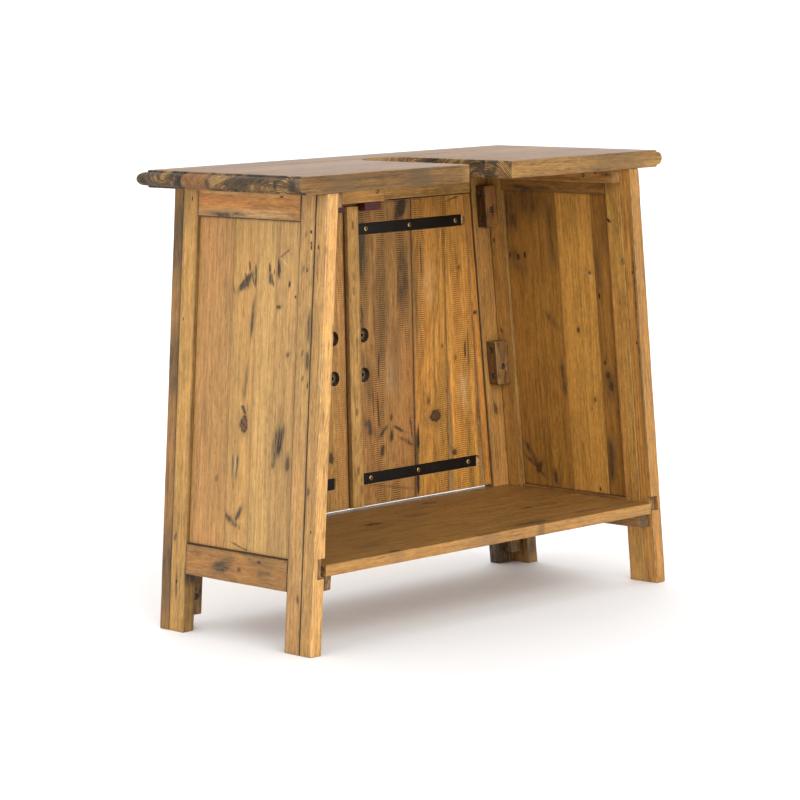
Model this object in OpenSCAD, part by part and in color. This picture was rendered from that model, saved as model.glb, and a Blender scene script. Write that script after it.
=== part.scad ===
// Bathroom vanity cabinet: splayed pine carcass, open at the back, two plank doors.
// Millimetres, +Z up, front faces -Y, open back faces +Y, origin on the floor at the
// middle of the bounding box.  "left" is -X and "right" is +X.

/* [Overall] */
// width of the top board over its nosings
top_w = 700; // [690:1:720]
// depth of the top board, nosing to square back edge
depth = 325; // [320:1:340]
// height of the finished top surface
height = 625; // [610:1:650]
// thickness of the top board
top_t = 24; // [22:1:28]

/* [Carcass] */
// outside width of the carcass just under the top board
body_top_w = 600; // [580:1:620]
// outside width of the carcass at the floor
body_foot_w = 700; // [680:1:700]
// how far the front frame stands back from the nosing
front_back = 21; // [18:1:24]
// thickness of every frame board
board_t = 19; // [18:0.5:20]
// width of the rear stiles, seen from the side
rear_stile_w = 29; // [27:1:32]
// depth of the strips nailed behind the rear stiles
strip_d = 22; // [20:1:24]
// width of the side front stiles, seen from the side
side_stile_w = 30; // [28:1:32]
// width of the left front stile, seen from the front
front_stile_l = 52; // [50:1:54]
// width of the right front stile, seen from the front
front_stile_r = 43; // [43:0.5:46]
// underside of the bottom rails
rail_z0 = 80; // [78:1:84]
// top edge of the side bottom rails
rail_z1 = 122; // [119:1:124]
// underside of the side top rails
top_rail_z = 563; // [558:1:566]
// underside of the front top rail
front_rail_z = 560.5; // [560:0.5:562]
// thickness of the recessed side panels
panel_t = 10; // [8:0.5:11]

/* [Top board] */
// width of the drain slot
slot_w = 82; // [70:1:100]
// reach of the drain slot from the back edge
slot_d = 233; // [180:1:240]
// how far the nosing stands out
nose = 11; // [10:0.5:11.5]
// square step above and below the nosing
nose_step = 3; // [2:0.5:3.5]

/* [Shelf] */
// top surface of the shelf
shelf_top = 118.5; // [117.5:0.5:119]
// thickness of the shelf
shelf_t = 15.5; // [14:0.5:16]

/* [Doors] */
// thickness of the door planks
door_t = 18; // [17:0.5:18.5]
// working gap round the doors
door_gap = 2.5; // [2:0.25:3.5]
// bottom edge of the doors
door_z0 = 122.5; // [121:0.5:127]
// where the two doors meet, measured from the middle
meet_x = 6; // [4:0.5:8]
// gap left between neighbouring planks
plank_gap = 0.5; // [0.3:0.1:1]

/* [Hidden] */
$fn = 48;
tz = height - top_t;                    // underside of the top board
lean = (body_foot_w - body_top_w) / 2 / tz;
tilt = atan(lean);
yf = -depth / 2 + front_back;           // front face of the carcass
yfb = yf + board_t;                     // back face of the front frame
ysf = yfb + side_stile_w;               // rear edge of the side front stiles
yb = depth / 2;                         // back of the carcass
yst = yb - strip_d;                     // front face of the rear strips
yrs = yst - rear_stile_w;               // front edge of the rear stiles
tongue = 6;                             // panel edge held in the frame
panel_in = 4.5;                         // outside recess of the panels
clr = 0.2;                              // clearance round panel tongues
door_top_gap = 1.2;                     // gap over the doors
door_z1 = front_rail_z - door_top_gap;
ydi = yf + door_t;                      // inner face of the doors
shelf_z0 = shelf_top - shelf_t;
bearer_h = 20;
bearer_t = 19;
cleat_h = 20;
cleat_t = 17;
block_d = 19;                           // depth of corner blocks, front to back
// corner blocks: [underside, height, width]
blocks = [[18, 61, 23], [273, 65, 26], [508, 62, 24]];
screw_r = 1.75;                         // wood screw shank
screw_hole = 1.85;
// steel bars of the doors: [underside, length, far screw, middle screw]
bars = [[154, 233, 216, 113], [513.3, 210, 198, 104]];
bar_h = 16;
bar_t = 3;
bar_sink = 4;                           // depth of the housing cut for a bar
bar_start = 26;                         // bar end, measured from the meeting edge
bar_screw_in = 17;                      // first screw, measured from the bar end
pull_z = [312.5, 369.5];
pull_l = -28;                           // pull of the left door
pull_r = 31;                            // pull of the right door
bore_r = 10.5;                          // pocket for the nut of a pull
bore_d = 8;
stud_r = 2.5;
stud_hole = 2.6;
catch_w = 30;
catch_h = 12;
catch_d = 17.5;
catch_l = -34;                          // middle of the left catch
catch_r = 37;
strike_t = 1;
strike_w = 26;
strike_h = 9.5;
hinge_z = [185, 495];
hinge_len = 50;
leaf_w = 28;
leaf_t = 2;
barrel_r = 3.9;
pin_r = 1.6;
pin_bore = 1.65;
hinge_out = 4.3;                        // hinge axis in front of the carcass face
knuckle_gap = 0.4;
batten_w = 21.5;
batten_t = 6.5;
notch_z0 = 101;
notch_h = 27;
notch_d = 12.6;
notch_y = 7;
notch_lift = 6.5; // the left notch starts this much higher

wood = [0.72, 0.52, 0.28];
wood_dark = [0.55, 0.38, 0.20];
steel_black = [0.06, 0.06, 0.06];
zinc = [0.72, 0.62, 0.36];
brown = [0.28, 0.12, 0.08];

// x of the sloping outside face at height z, less a horizontal offset, on side s
function ox(s, off, z) = s * (body_foot_w / 2 - off - lean * z);
function outer(s) = s < 0 ? front_stile_l + door_gap : front_stile_r + door_gap;
function meet(s) = meet_x + s * door_gap / 2 + (s < 0 ? -0.25 : 0.25);
function pull_x(s) = s < 0 ? pull_l : pull_r;
function catch_x(s) = s < 0 ? catch_l : catch_r;
function hinge_off(s) = (s < 0 ? front_stile_l : front_stile_r) + door_gap / 2;

// a board that leans with the side: z0..z1, offset o0..o1 inwards, y0..y1
module leaning(s, z0, z1, o0, o1, y0, y1) {
  translate([0, y1, 0]) rotate([90, 0, 0]) linear_extrude(height = y1 - y0)
    polygon([[ox(s, o0, z0), z0], [ox(s, o1, z0), z0], [ox(s, o1, z1), z1], [ox(s, o0, z1), z1]]);
}

// a board in the front plane given by its outline in x and z
module upright(pts, y0, y1) {
  translate([0, y1, 0]) rotate([90, 0, 0]) linear_extrude(height = y1 - y0) polygon(pts);
}

module along_y(r, x, z, y0, y1) {
  translate([x, y0, z]) rotate([-90, 0, 0]) cylinder(r = r, h = y1 - y0);
}

// ---- top board ----
module nose_edge(len) {
  // outline of one moulded edge, the board lying to the right of x = nose
  r = (top_t - 2 * nose_step) / 2;
  translate([nose, 0]) square([len, top_t]);
  translate([r, nose_step]) square([nose - r + 1, 2 * r]);
  translate([r, nose_step + r]) circle(r = r);
}

module top_board() {
  color(wood) difference() {
    intersection() {
      translate([-top_w / 2, -depth / 2, tz]) rotate([90, 0, 90])
        linear_extrude(height = top_w) nose_edge(depth - nose);
      translate([0, yb, tz]) rotate([90, 0, 0]) linear_extrude(height = depth) {
        translate([-top_w / 2, 0]) nose_edge(top_w / 2 - nose);
        mirror([1, 0]) translate([-top_w / 2, 0]) nose_edge(top_w / 2 - nose);
      }
    }
    translate([-slot_w / 2, yb - slot_d + slot_w / 2, tz - 1])
      cube([slot_w, slot_d, top_t + 2]);
    translate([0, yb - slot_d + slot_w / 2, tz - 1]) cylinder(r = slot_w / 2, h = top_t + 2);
  }
}

// ---- front frame ----
module front_stile(s) {
  w = s < 0 ? front_stile_l : front_stile_r;
  color(wood) leaning(s, 0, tz, 0, w, yf, yfb);
}

module front_rail(z0, z1) {
  color(wood) upright([[ox(-1, front_stile_l, z0), z0], [ox(1, front_stile_r, z0), z0],
                       [ox(1, front_stile_r, z1), z1], [ox(-1, front_stile_l, z1), z1]], yf, yfb);
}

// ---- side frames ----
module panel_blank(s, c) {
  leaning(s, rail_z1 - tongue - c, top_rail_z + tongue + c, panel_in - c,
          panel_in + panel_t + c, ysf - tongue - c, yrs + tongue + c);
}

module side_front_stile(s) {
  color(wood) difference() {
    leaning(s, 0, tz, 0, board_t, yfb, ysf);
    panel_blank(s, clr);
  }
}

module side_rear_stile(s) {
  color(wood) difference() {
    leaning(s, 0, tz, 0, board_t, yrs, yst);
    panel_blank(s, clr);
  }
}

module rear_strip(s) {
  color(wood) difference() {
    leaning(s, 0, tz, 0, board_t, yst, yb);
    leaning(s, notch_z0 + (s < 0 ? notch_lift : 0), notch_z0 + notch_h, board_t - notch_d, board_t + 1,
      yb - notch_y, yb + 1);
  }
}

module side_rail(s, z0, z1) {
  color(wood) difference() {
    leaning(s, z0, z1, 0, board_t, ysf, yrs);
    panel_blank(s, clr);
  }
}

module side_panel(s) {
  color(wood_dark) panel_blank(s, 0);
}

// ---- shelf and its bearers ----
module shelf_board() {
  hw = ox(1, board_t, shelf_top) - 1.5;
  color(wood) translate([-hw, yfb + 0.3, shelf_z0]) cube([2 * hw, yb - yfb - 0.3, shelf_t]);
}

module bearer_blank(s) {
  leaning(s, shelf_z0 - bearer_h, shelf_z0, board_t, board_t + bearer_t, yfb + 0.3, yb - 7);
}

module shelf_bearer(s) {
  color(wood) difference() {
    bearer_blank(s);
    cleat_holes(s, shelf_z0 - bearer_h / 2, bearer_ys, bearer_t);
  }
}

bearer_ys = [-70, 30, 118];
cleat_ys = [-60, 88];

function cleat_end(s) = s < 0 ? yb - 18 : yb - 10.5;

module top_cleat(s) {
  color(wood) difference() {
    leaning(s, tz - cleat_h, tz, board_t, board_t + cleat_t, yfb + 0.3, cleat_end(s));
    cleat_holes(s, tz - cleat_h / 2, cleat_ys, cleat_t);
  }
}

// blind screw holes in the inner face of a cleat, drilled level
module cleat_holes(s, z, ys, t) {
  for (y = ys)
    translate([ox(s, board_t + t, z), y, z]) rotate([0, s * 90, 0])
      translate([0, 0, -3]) cylinder(r = screw_hole, h = 16);
}

module cleat_screw(s, z, y, t) {
  translate([ox(s, board_t + t, z), y, z]) rotate([0, s * 90, 0]) {
    translate([0, 0, -1.6]) cylinder(r = 3.6, h = 1.2);
    translate([0, 0, -1]) cylinder(r = screw_r, h = 13);
  }
}

module cleat_screws() {
  color(zinc) for (s = [-1, 1]) {
    for (y = bearer_ys) cleat_screw(s, shelf_z0 - bearer_h / 2, y, bearer_t);
    for (y = cleat_ys) cleat_screw(s, tz - cleat_h / 2, y, cleat_t);
  }
}

// ---- corner blocks ----
module block_blank(s, b) {
  leaning(s, b[0], b[0] + b[1], board_t, board_t + b[2], yfb, yfb + block_d);
}

// screws of one block: two into the side, one into the front stile
module block_screw(s, b, hole) {
  r = hole ? screw_hole : screw_r;
  d = hole ? 1 : 0;
  for (k = [0.2, 0.8]) {
    z = b[0] + k * b[1];
    translate([ox(s, board_t + b[2], z), yfb + block_d / 2, z]) rotate([0, s * 90, 0]) {
      translate([0, 0, -0.4 - 2 * d]) cylinder(r = r, h = 15.4 + 2.1 * d);
      if (!hole) translate([0, 0, -1.6]) cylinder(r = 3.2, h = 1.2);
    }
  }
  zm = b[0] + 0.42 * b[1];
  xm = ox(s, board_t + b[2] * 0.5, zm);
  translate([xm, yfb + block_d, zm]) rotate([90, 0, 0]) {
    translate([0, 0, -0.4 - 2 * d]) cylinder(r = r, h = 7.4 + 2.1 * d);
    if (!hole) translate([0, 0, -1.2]) cylinder(r = 3.2, h = 1.2);
  }
}

module corner_blocks(s) {
  color(wood) for (b = blocks) difference() {
    block_blank(s, b);
    block_screw(s, b, true);
  }
}

module corner_block_screws(s) {
  color(zinc) for (b = blocks) block_screw(s, b, false);
}

// ---- catch block and catches ----
catch_block_w = 114;
catch_block_d = 19;
catch_screw_x = 42;
catch_screw_z = 575;

module catch_block() {
  color(wood) difference() {
    translate([-catch_block_w / 2, yfb, front_rail_z])
      cube([catch_block_w, catch_block_d, tz - front_rail_z]);
    for (x = [-catch_screw_x, catch_screw_x])
      along_y(screw_hole, x, catch_screw_z, yfb + 6, yfb + catch_block_d + 1);
  }
}

module catch_block_screws() {
  color(zinc) for (x = [-catch_screw_x, catch_screw_x]) {
    along_y(screw_r, x, catch_screw_z, yfb + 6.5, yfb + catch_block_d + 0.5);
    along_y(3.8, x, catch_screw_z, yfb + catch_block_d, yfb + catch_block_d + 1.2);
  }
}

module catch(s) {
  color(brown) translate([catch_x(s) - catch_w / 2, yfb + catch_block_d - catch_d - 0.5,
                          front_rail_z - catch_h]) cube([catch_w, catch_d, catch_h]);
}

// ---- hinges, drawn with the pin on local z, the front towards -y ----
module at_hinge(s, z) {
  translate([ox(s, hinge_off(s), z), yf - hinge_out, z]) rotate([0, -s * tilt, 0]) children();
}

knuckle = (hinge_len - 2 * knuckle_gap) / 3;

// one leaf; d = direction it reaches in local x, mid = carries the middle knuckle
module leaf(d, mid) {
  y0 = hinge_out - leaf_t;
  ks = mid ? [knuckle + knuckle_gap] : [0, 2 * (knuckle + knuckle_gap)];
  difference() {
    union() {
      translate([d > 0 ? barrel_r + 0.8 : -leaf_w, y0, -hinge_len / 2])
        cube([leaf_w - barrel_r - 0.8, leaf_t, hinge_len]);
      for (k = ks) translate([0, 0, k - hinge_len / 2]) {
        cylinder(r = barrel_r, h = knuckle);
        translate([d > 0 ? 0 : -barrel_r - 1, y0, 0]) cube([barrel_r + 1, leaf_t - 0.1, knuckle]);
      }
    }
    translate([0, 0, -hinge_len / 2 - 1]) cylinder(r = pin_bore, h = hinge_len + 2);
    for (z = [-1, 1]) leaf_screw_at(d, z, y0) cylinder(r = screw_hole, h = leaf_t + 2);
  }
}

// screw place on a leaf, local z running into the wood from the leaf's face
module leaf_screw_at(d, z, y0) {
  translate([d * (leaf_w + barrel_r) * 0.53, y0, z * hinge_len * 0.3]) rotate([-90, 0, 0])
    translate([0, 0, -1]) children();
}

module hinge_leaves(s, door) {
  color(steel_black) for (z = hinge_z) at_hinge(s, z) leaf(door ? -s : s, door);
}

module hinge_pins(s) {
  color(steel_black) for (z = hinge_z) at_hinge(s, z) {
    translate([0, 0, -hinge_len / 2 - 0.5]) cylinder(r = pin_r, h = hinge_len + 1);
    for (k = [-1, 1]) translate([0, 0, k * (hinge_len / 2 + 1.2) - 0.8])
      cylinder(r = 3, h = 1.6);
  }
}

module hinge_screw_set(s, door, hole) {
  r = hole ? screw_hole : screw_r;
  for (z = hinge_z) at_hinge(s, z) for (k = [-1, 1])
    leaf_screw_at(door ? -s : s, k, hinge_out - leaf_t) {
      translate([0, 0, hole ? 1 : 0.2]) cylinder(r = r, h = hole ? 13.5 : 13.8);
      if (!hole) cylinder(r = 3.2, h = 1);
    }
}

module hinge_screws(s, door) {
  color(steel_black) hinge_screw_set(s, door, false);
}

module front_stile_drilled(s) {
  color(wood) difference() {
    front_stile(s);
    hinge_screw_set(s, false, true);
  }
}

// ---- doors ----
// joint lines between planks: [x at the top, x at the bottom]
joints_l = [[-127.5, -127.5], [-196, -196]];
joints_r = [[84, 84], [176, 176]];
edge_strip = 14;

function seam(s) = concat(
  [[meet(s), meet(s)]],
  s < 0 ? joints_l : joints_r,
  [[ox(s, outer(s) + edge_strip, door_z1), ox(s, outer(s) + edge_strip, door_z0)]],
  [[ox(s, outer(s), door_z1), ox(s, outer(s), door_z0)]]);

module plank_set(s) {
  e = seam(s);
  g = s * plank_gap / 2;
  for (i = [0 : len(e) - 2]) {
    a = e[i];
    b = e[i + 1];
    ga = i == 0 ? 0 : g;
    gb = i == len(e) - 2 ? 0 : -g;
    upright([[a[0] + ga, door_z1], [b[0] + gb, door_z1], [b[1] + gb, door_z0],
             [a[1] + ga, door_z0]], yf, ydi);
  }
}

module bar_housing(s, b) {
  x0 = meet(s) + s * (bar_start - 1);
  len = b[1] + 8;
  r = (bar_h + 1) / 2;
  zc = b[0] + bar_h / 2;
  translate([s > 0 ? x0 : x0 - len + r, ydi - bar_sink, zc - r])
    cube([len - r, bar_sink + 1, 2 * r]);
  along_y(r, x0 + s * (len - r), zc, ydi - bar_sink, ydi + 1);
}

// places of the three screws of a bar
function bar_xs(s, b) = [for (d = [bar_screw_in, b[3], b[2]]) meet(s) + s * (bar_start + d)];

module bar_holes(s, b) {
  for (x = bar_xs(s, b)) along_y(screw_hole, x, b[0] + bar_h / 2, ydi - 14.5, ydi + 1);
}

module pull_holes(s) {
  for (z = pull_z) {
    along_y(stud_hole, pull_x(s), z, yf - 1, ydi + 1);
    along_y(bore_r, pull_x(s), z, ydi - bore_d, ydi + 1);
  }
}

module door_planks(s) {
  color(wood_dark) difference() {
    plank_set(s);
    for (b = bars) {
      bar_housing(s, b);
      bar_holes(s, b);
    }
    pull_holes(s);
    hinge_screw_set(s, true, true);
  }
}

module door_batten() {
  color(wood) difference() {
    translate([meet(-1) - batten_w, ydi, door_z0 + 1])
      cube([batten_w, batten_t, door_z1 - door_z0 - 5]);
    for (z = pull_z) along_y(bore_r + 0.5, pull_l, z, ydi - 1, ydi + batten_t + 1);
  }
}

module door_bars(s) {
  color(steel_black) for (b = bars) difference() {
    x0 = meet(s) + s * bar_start;
    translate([s > 0 ? x0 : x0 - b[1], ydi - bar_sink, b[0]]) cube([b[1], bar_t, bar_h]);
    bar_holes(s, b);
  }
}

module door_bar_screws(s) {
  color(zinc) for (b = bars) for (x = bar_xs(s, b)) {
    along_y(screw_r, x, b[0] + bar_h / 2, ydi - 14, ydi - bar_sink + bar_t + 0.5);
    along_y(3.5, x, b[0] + bar_h / 2, ydi - bar_sink + bar_t, ydi - bar_sink + bar_t + 1);
  }
}

module door_strike(s) {
  color(zinc) translate([catch_x(s) - strike_w / 2, ydi, door_z1 - strike_h - 1])
    cube([strike_w, strike_t, strike_h]);
}

module door_pull(s) {
  grip = 16.5;
  over = 16;
  x = pull_x(s);
  color(steel_black) {
    for (z = pull_z) {
      along_y(stud_r, x, z, yf - 2, ydi - 2);
      along_y(9, x, z, yf - 3, yf);
      along_y(3.5, x, z, yf - grip, yf - 2);
    }
    translate([x, yf - grip, pull_z[0] - over])
      cylinder(r = 4, h = pull_z[1] - pull_z[0] + 2 * over);
  }
}

module door_pull_nuts(s) {
  x = pull_x(s);
  color(zinc) for (z = pull_z) difference() {
    union() {
      along_y(8, x, z, ydi - bore_d, ydi - bore_d + 1.2);
      translate([x, ydi - bore_d + 1, z]) rotate([-90, 30, 0]) cylinder(r = 4.6, h = 4, $fn = 6);
    }
    along_y(stud_hole, x, z, ydi - bore_d - 1, ydi);
  }
}

top_board();
front_stile_drilled(-1);  // front_stile_left
front_stile_drilled(1);  // front_stile_right
front_rail(front_rail_z, tz);  // front_top_rail
front_rail(rail_z0, shelf_top - 0.5);  // front_bottom_rail
side_front_stile(-1);  // side_front_stile_left
side_front_stile(1);  // side_front_stile_right
side_rear_stile(-1);  // side_rear_stile_left
side_rear_stile(1);  // side_rear_stile_right
rear_strip(-1);  // rear_strip_left
rear_strip(1);  // rear_strip_right
side_rail(-1, top_rail_z, tz);  // side_top_rail_left
side_rail(1, top_rail_z, tz);  // side_top_rail_right
side_rail(-1, rail_z0, rail_z1);  // side_bottom_rail_left
side_rail(1, rail_z0, rail_z1);  // side_bottom_rail_right
side_panel(-1);  // side_panel_left
side_panel(1);  // side_panel_right
shelf_board();
shelf_bearer(-1);  // shelf_bearer_left
shelf_bearer(1);  // shelf_bearer_right
top_cleat(-1);  // top_cleat_left
top_cleat(1);  // top_cleat_right
corner_blocks(-1);  // corner_blocks_left
corner_blocks(1);  // corner_blocks_right
corner_block_screws(-1);  // corner_block_screws_left
corner_block_screws(1);  // corner_block_screws_right
cleat_screws();
catch_block();
catch_block_screws();
catch(-1);  // catch_left
catch(1);  // catch_right
hinge_leaves(-1, false);  // hinge_frame_leaves_left
hinge_leaves(1, false);  // hinge_frame_leaves_right
hinge_pins(-1);  // hinge_pins_left
hinge_pins(1);  // hinge_pins_right
hinge_screws(-1, false);  // hinge_frame_screws_left
hinge_screws(1, false);  // hinge_frame_screws_right
door_planks(-1);  // door_left_planks
door_batten();  // door_left_batten
door_bars(-1);  // door_left_bars
door_bar_screws(-1);  // door_left_bar_screws
door_strike(-1);  // door_left_strike
door_pull(-1);  // door_left_pull
door_pull_nuts(-1);  // door_left_pull_nuts
hinge_leaves(-1, true);  // door_left_hinge_leaves
hinge_screws(-1, true);  // door_left_hinge_screws
door_planks(1);  // door_right_planks
door_bars(1);  // door_right_bars
door_bar_screws(1);  // door_right_bar_screws
door_strike(1);  // door_right_strike
door_pull(1);  // door_right_pull
door_pull_nuts(1);  // door_right_pull_nuts
hinge_leaves(1, true);  // door_right_hinge_leaves
hinge_screws(1, true);  // door_right_hinge_screws
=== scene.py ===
"""Small bathroom cabinet of reclaimed pine: the looks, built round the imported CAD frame.

The frame is in metres with the front at -Y, the open back at +Y and +Z up; "left" is -X.
Board sizes below are in millimetres, as in the CAD source, and are scaled by MM at the end.
"""

import math
import random

import bpy
from mathutils import Matrix, Vector, noise


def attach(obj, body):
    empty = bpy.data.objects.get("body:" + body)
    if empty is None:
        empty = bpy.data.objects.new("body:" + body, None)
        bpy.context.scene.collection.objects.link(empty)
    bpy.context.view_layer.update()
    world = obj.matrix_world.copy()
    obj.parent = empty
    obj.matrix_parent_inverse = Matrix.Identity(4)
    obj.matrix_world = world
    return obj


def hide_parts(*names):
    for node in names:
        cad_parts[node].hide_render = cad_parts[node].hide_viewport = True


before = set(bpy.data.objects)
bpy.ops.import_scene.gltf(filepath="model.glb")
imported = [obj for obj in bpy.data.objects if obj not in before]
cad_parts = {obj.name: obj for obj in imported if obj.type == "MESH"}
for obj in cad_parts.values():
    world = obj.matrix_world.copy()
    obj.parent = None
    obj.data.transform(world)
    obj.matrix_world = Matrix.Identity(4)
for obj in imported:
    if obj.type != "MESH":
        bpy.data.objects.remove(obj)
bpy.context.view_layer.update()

MM = 0.001
TINY = 1e-6
SHARP, CUT_SHARP = math.radians(38), math.radians(30)  # edges steeper than this are not shaded smooth
SIDES = {-1: "left", 1: "right"}

# ---- sizes of the cabinet, mm ----
TOP_W, DEPTH, HEIGHT, TOP_T = 700, 325, 625, 24
FOOT_W, BODY_TOP_W = 700, 600
UNDER_TOP = HEIGHT - TOP_T
LEAN = (FOOT_W - BODY_TOP_W) / 2 / UNDER_TOP
TILT = math.atan(LEAN)
FRONT = -DEPTH / 2 + 21  # front face of the carcass
FRAME_BACK = FRONT + 19  # back of the front frame
SIDE_STILE_BACK = FRAME_BACK + 30
BACK = DEPTH / 2
STRIP_FRONT = BACK - 22
REAR_STILE_FRONT = STRIP_FRONT - 29
RAIL_LOW, RAIL_HIGH = 80, 122
TOP_RAIL_LOW, FRONT_RAIL_LOW = 563, 560.5
PANEL_IN, PANEL_T = 4.5, 10
BOARD_T = 19
SLOT_W, SLOT_D = 82, 233
SHELF_TOP, SHELF_T = 118.5, 15.5
DOOR_BACK = FRONT + 18
DOOR_LOW, DOOR_HIGH = 122.5, 559.3
MEET, GAP = 6, 2.5
STILE_W = {-1: 52, 1: 43}
BLOCKS = [(18, 61, 23), (273, 65, 26), (508, 62, 24)]  # underside, height, width
BLOCK_D = 19
BARS = [(154, 233, (17, 113, 216)), (513.3, 210, (17, 104, 198))]  # underside, length, screws
BAR_H, BAR_T, BAR_SINK, BAR_START = 16, 3, 4, 26
PULL_Z = (312.5, 369.5)
PULL_X = {-1: -28, 1: 31}
BORE_R, BORE_D = 10.5, 8
CATCH_X = {-1: -34, 1: 37}
CATCH_BACK = FRAME_BACK + 18.5
BEARER_T, CLEAT_T, CLEAT_H = 19, 17, 20
NOTCH_LOW, NOTCH_HIGH, NOTCH_IN, NOTCH_Y = {-1: 107.5, 1: 101}, 128, 12.6, 7
BATTEN_W, BATTEN_T = 21.5, 6.5
HINGE_Z, HINGE_OUT, LEAF_SCREW = (185, 495), 4.3, (28 + 3.9) * 0.53


def lean_x(side, inset, z):
    """X of the sloping outside face at height z, less an inset."""
    return side * (FOOT_W / 2 - inset - LEAN * z)


def door_edge(side):
    """X of a door's meeting edge, half the gap from the meeting line."""
    return MEET + side * GAP / 2 + pick(side, -0.25, 0.25)


def pick(side, left, right):
    """One of two values, by the sign of the side."""
    return left if side < 0 else right


def srgb(r, g, b):
    """A linear colour from ordinary 0-255 numbers."""
    return tuple(((c / 255 + 0.055) / 1.055) ** 2.4 for c in (r, g, b)) + (1.0,)


# ---- node building ----
class Net:
    """Short calls for building a shader tree."""

    def __init__(self, tree):
        self.tree = tree

    def node(self, kind, **props):
        made = self.tree.nodes.new("ShaderNode" + kind)
        for key, value in props.items():
            setattr(made, key, value)
        return made

    def put(self, socket, value):
        if isinstance(value, bpy.types.NodeSocket):
            self.tree.links.new(value, socket)
        elif value is not None:
            socket.default_value = value

    def math(self, op, a, b=None, clamp=False):
        made = self.node("Math", operation=op, use_clamp=clamp)
        self.put(made.inputs[0], a)
        self.put(made.inputs[1], b)
        return made.outputs[0]

    def add(self, a, b, clamp=False):
        return self.math("ADD", a, b, clamp)

    def sub(self, a, b):
        return self.math("SUBTRACT", a, b)

    def mul(self, a, b):
        return self.math("MULTIPLY", a, b)

    def vec(self, op, a, b=None):
        made = self.node("VectorMath", operation=op)
        self.put(made.inputs[0], a)
        if op == "SCALE":
            self.put(made.inputs["Scale"], b)
        else:
            self.put(made.inputs[1], b)
        flat = op in ("DOT_PRODUCT", "LENGTH")
        return made.outputs["Value" if flat else "Vector"]

    def xyz(self, x=0.0, y=0.0, z=0.0):
        made = self.node("CombineXYZ")
        for socket, value in zip(made.inputs, (x, y, z)):
            self.put(socket, value)
        return made.outputs[0]

    def split(self, vector):
        made = self.node("SeparateXYZ")
        self.put(made.inputs[0], vector)
        return made.outputs

    def noise(self, vector, scale=(1, 1, 1), detail=2.0, rough=0.5):
        made = self.node("TexNoise")
        self.put(made.inputs["Vector"], self.vec("MULTIPLY", vector, scale))
        made.inputs["Scale"].default_value = 1.0
        made.inputs["Detail"].default_value = detail
        made.inputs["Roughness"].default_value = rough
        return made.outputs[0]

    def ease(self, value, low, high, first=0.0, last=1.0):
        made = self.node("MapRange", interpolation_type="SMOOTHSTEP")
        for socket, number in zip(made.inputs, (value, low, high, first, last)):
            self.put(socket, number)
        return made.outputs[0]

    def mix(self, factor, a, b):
        made = self.node("Mix", data_type="RGBA")
        for index, value in ((0, factor), (6, a), (7, b)):
            self.put(made.inputs[index], value)
        return made.outputs[2]

    def bump(self, height, strength, distance):
        made = self.node("Bump")
        made.inputs["Strength"].default_value = strength
        made.inputs["Distance"].default_value = distance
        self.put(made.inputs["Height"], height)
        return made.outputs[0]

    def surface(self, shader, colour, rough, normal):
        """Wires up the three inputs that every material here sets."""
        for name, value in (("Base Color", colour), ("Roughness", rough), ("Normal", normal)):
            self.put(shader.inputs[name], value)

    def use(self, tree, **values):
        """A copy of a node group, its sockets set by name with spaces as underscores."""
        made = self.tree.nodes.new("ShaderNodeGroup")
        made.node_tree = tree
        for key, value in values.items():
            self.put(made.inputs[key.replace("_", " ")], value)
        return made.outputs


def new_group(name, inputs, outputs):
    """An empty group with (label, kind) sockets, and its inner ends."""
    tree = bpy.data.node_groups.new(name, "ShaderNodeTree")
    for way, sockets in (("INPUT", inputs), ("OUTPUT", outputs)):
        for label, kind in sockets:
            tree.interface.new_socket(label, in_out=way, socket_type="NodeSocket" + kind)
    given = tree.nodes.new("NodeGroupInput").outputs
    wanted = tree.nodes.new("NodeGroupOutput").inputs
    return Net(tree), given, wanted


def make_place_group():
    """Object coordinates into a board's own: along the grain, across it, and through it."""
    net, given, wanted = new_group(
        "board_place",
        [("Along", "Vector"), ("Across", "Vector"), ("Through", "Vector"), ("Origin", "Vector")],
        [("Local", "Vector")],
    )
    here = net.vec("SUBTRACT", net.node("TexCoord").outputs["Object"], given["Origin"])
    parts = [net.vec("DOT_PRODUCT", here, given[k]) for k in ("Along", "Across", "Through")]
    net.put(wanted["Local"], net.xyz(*parts))
    return net.tree


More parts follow.
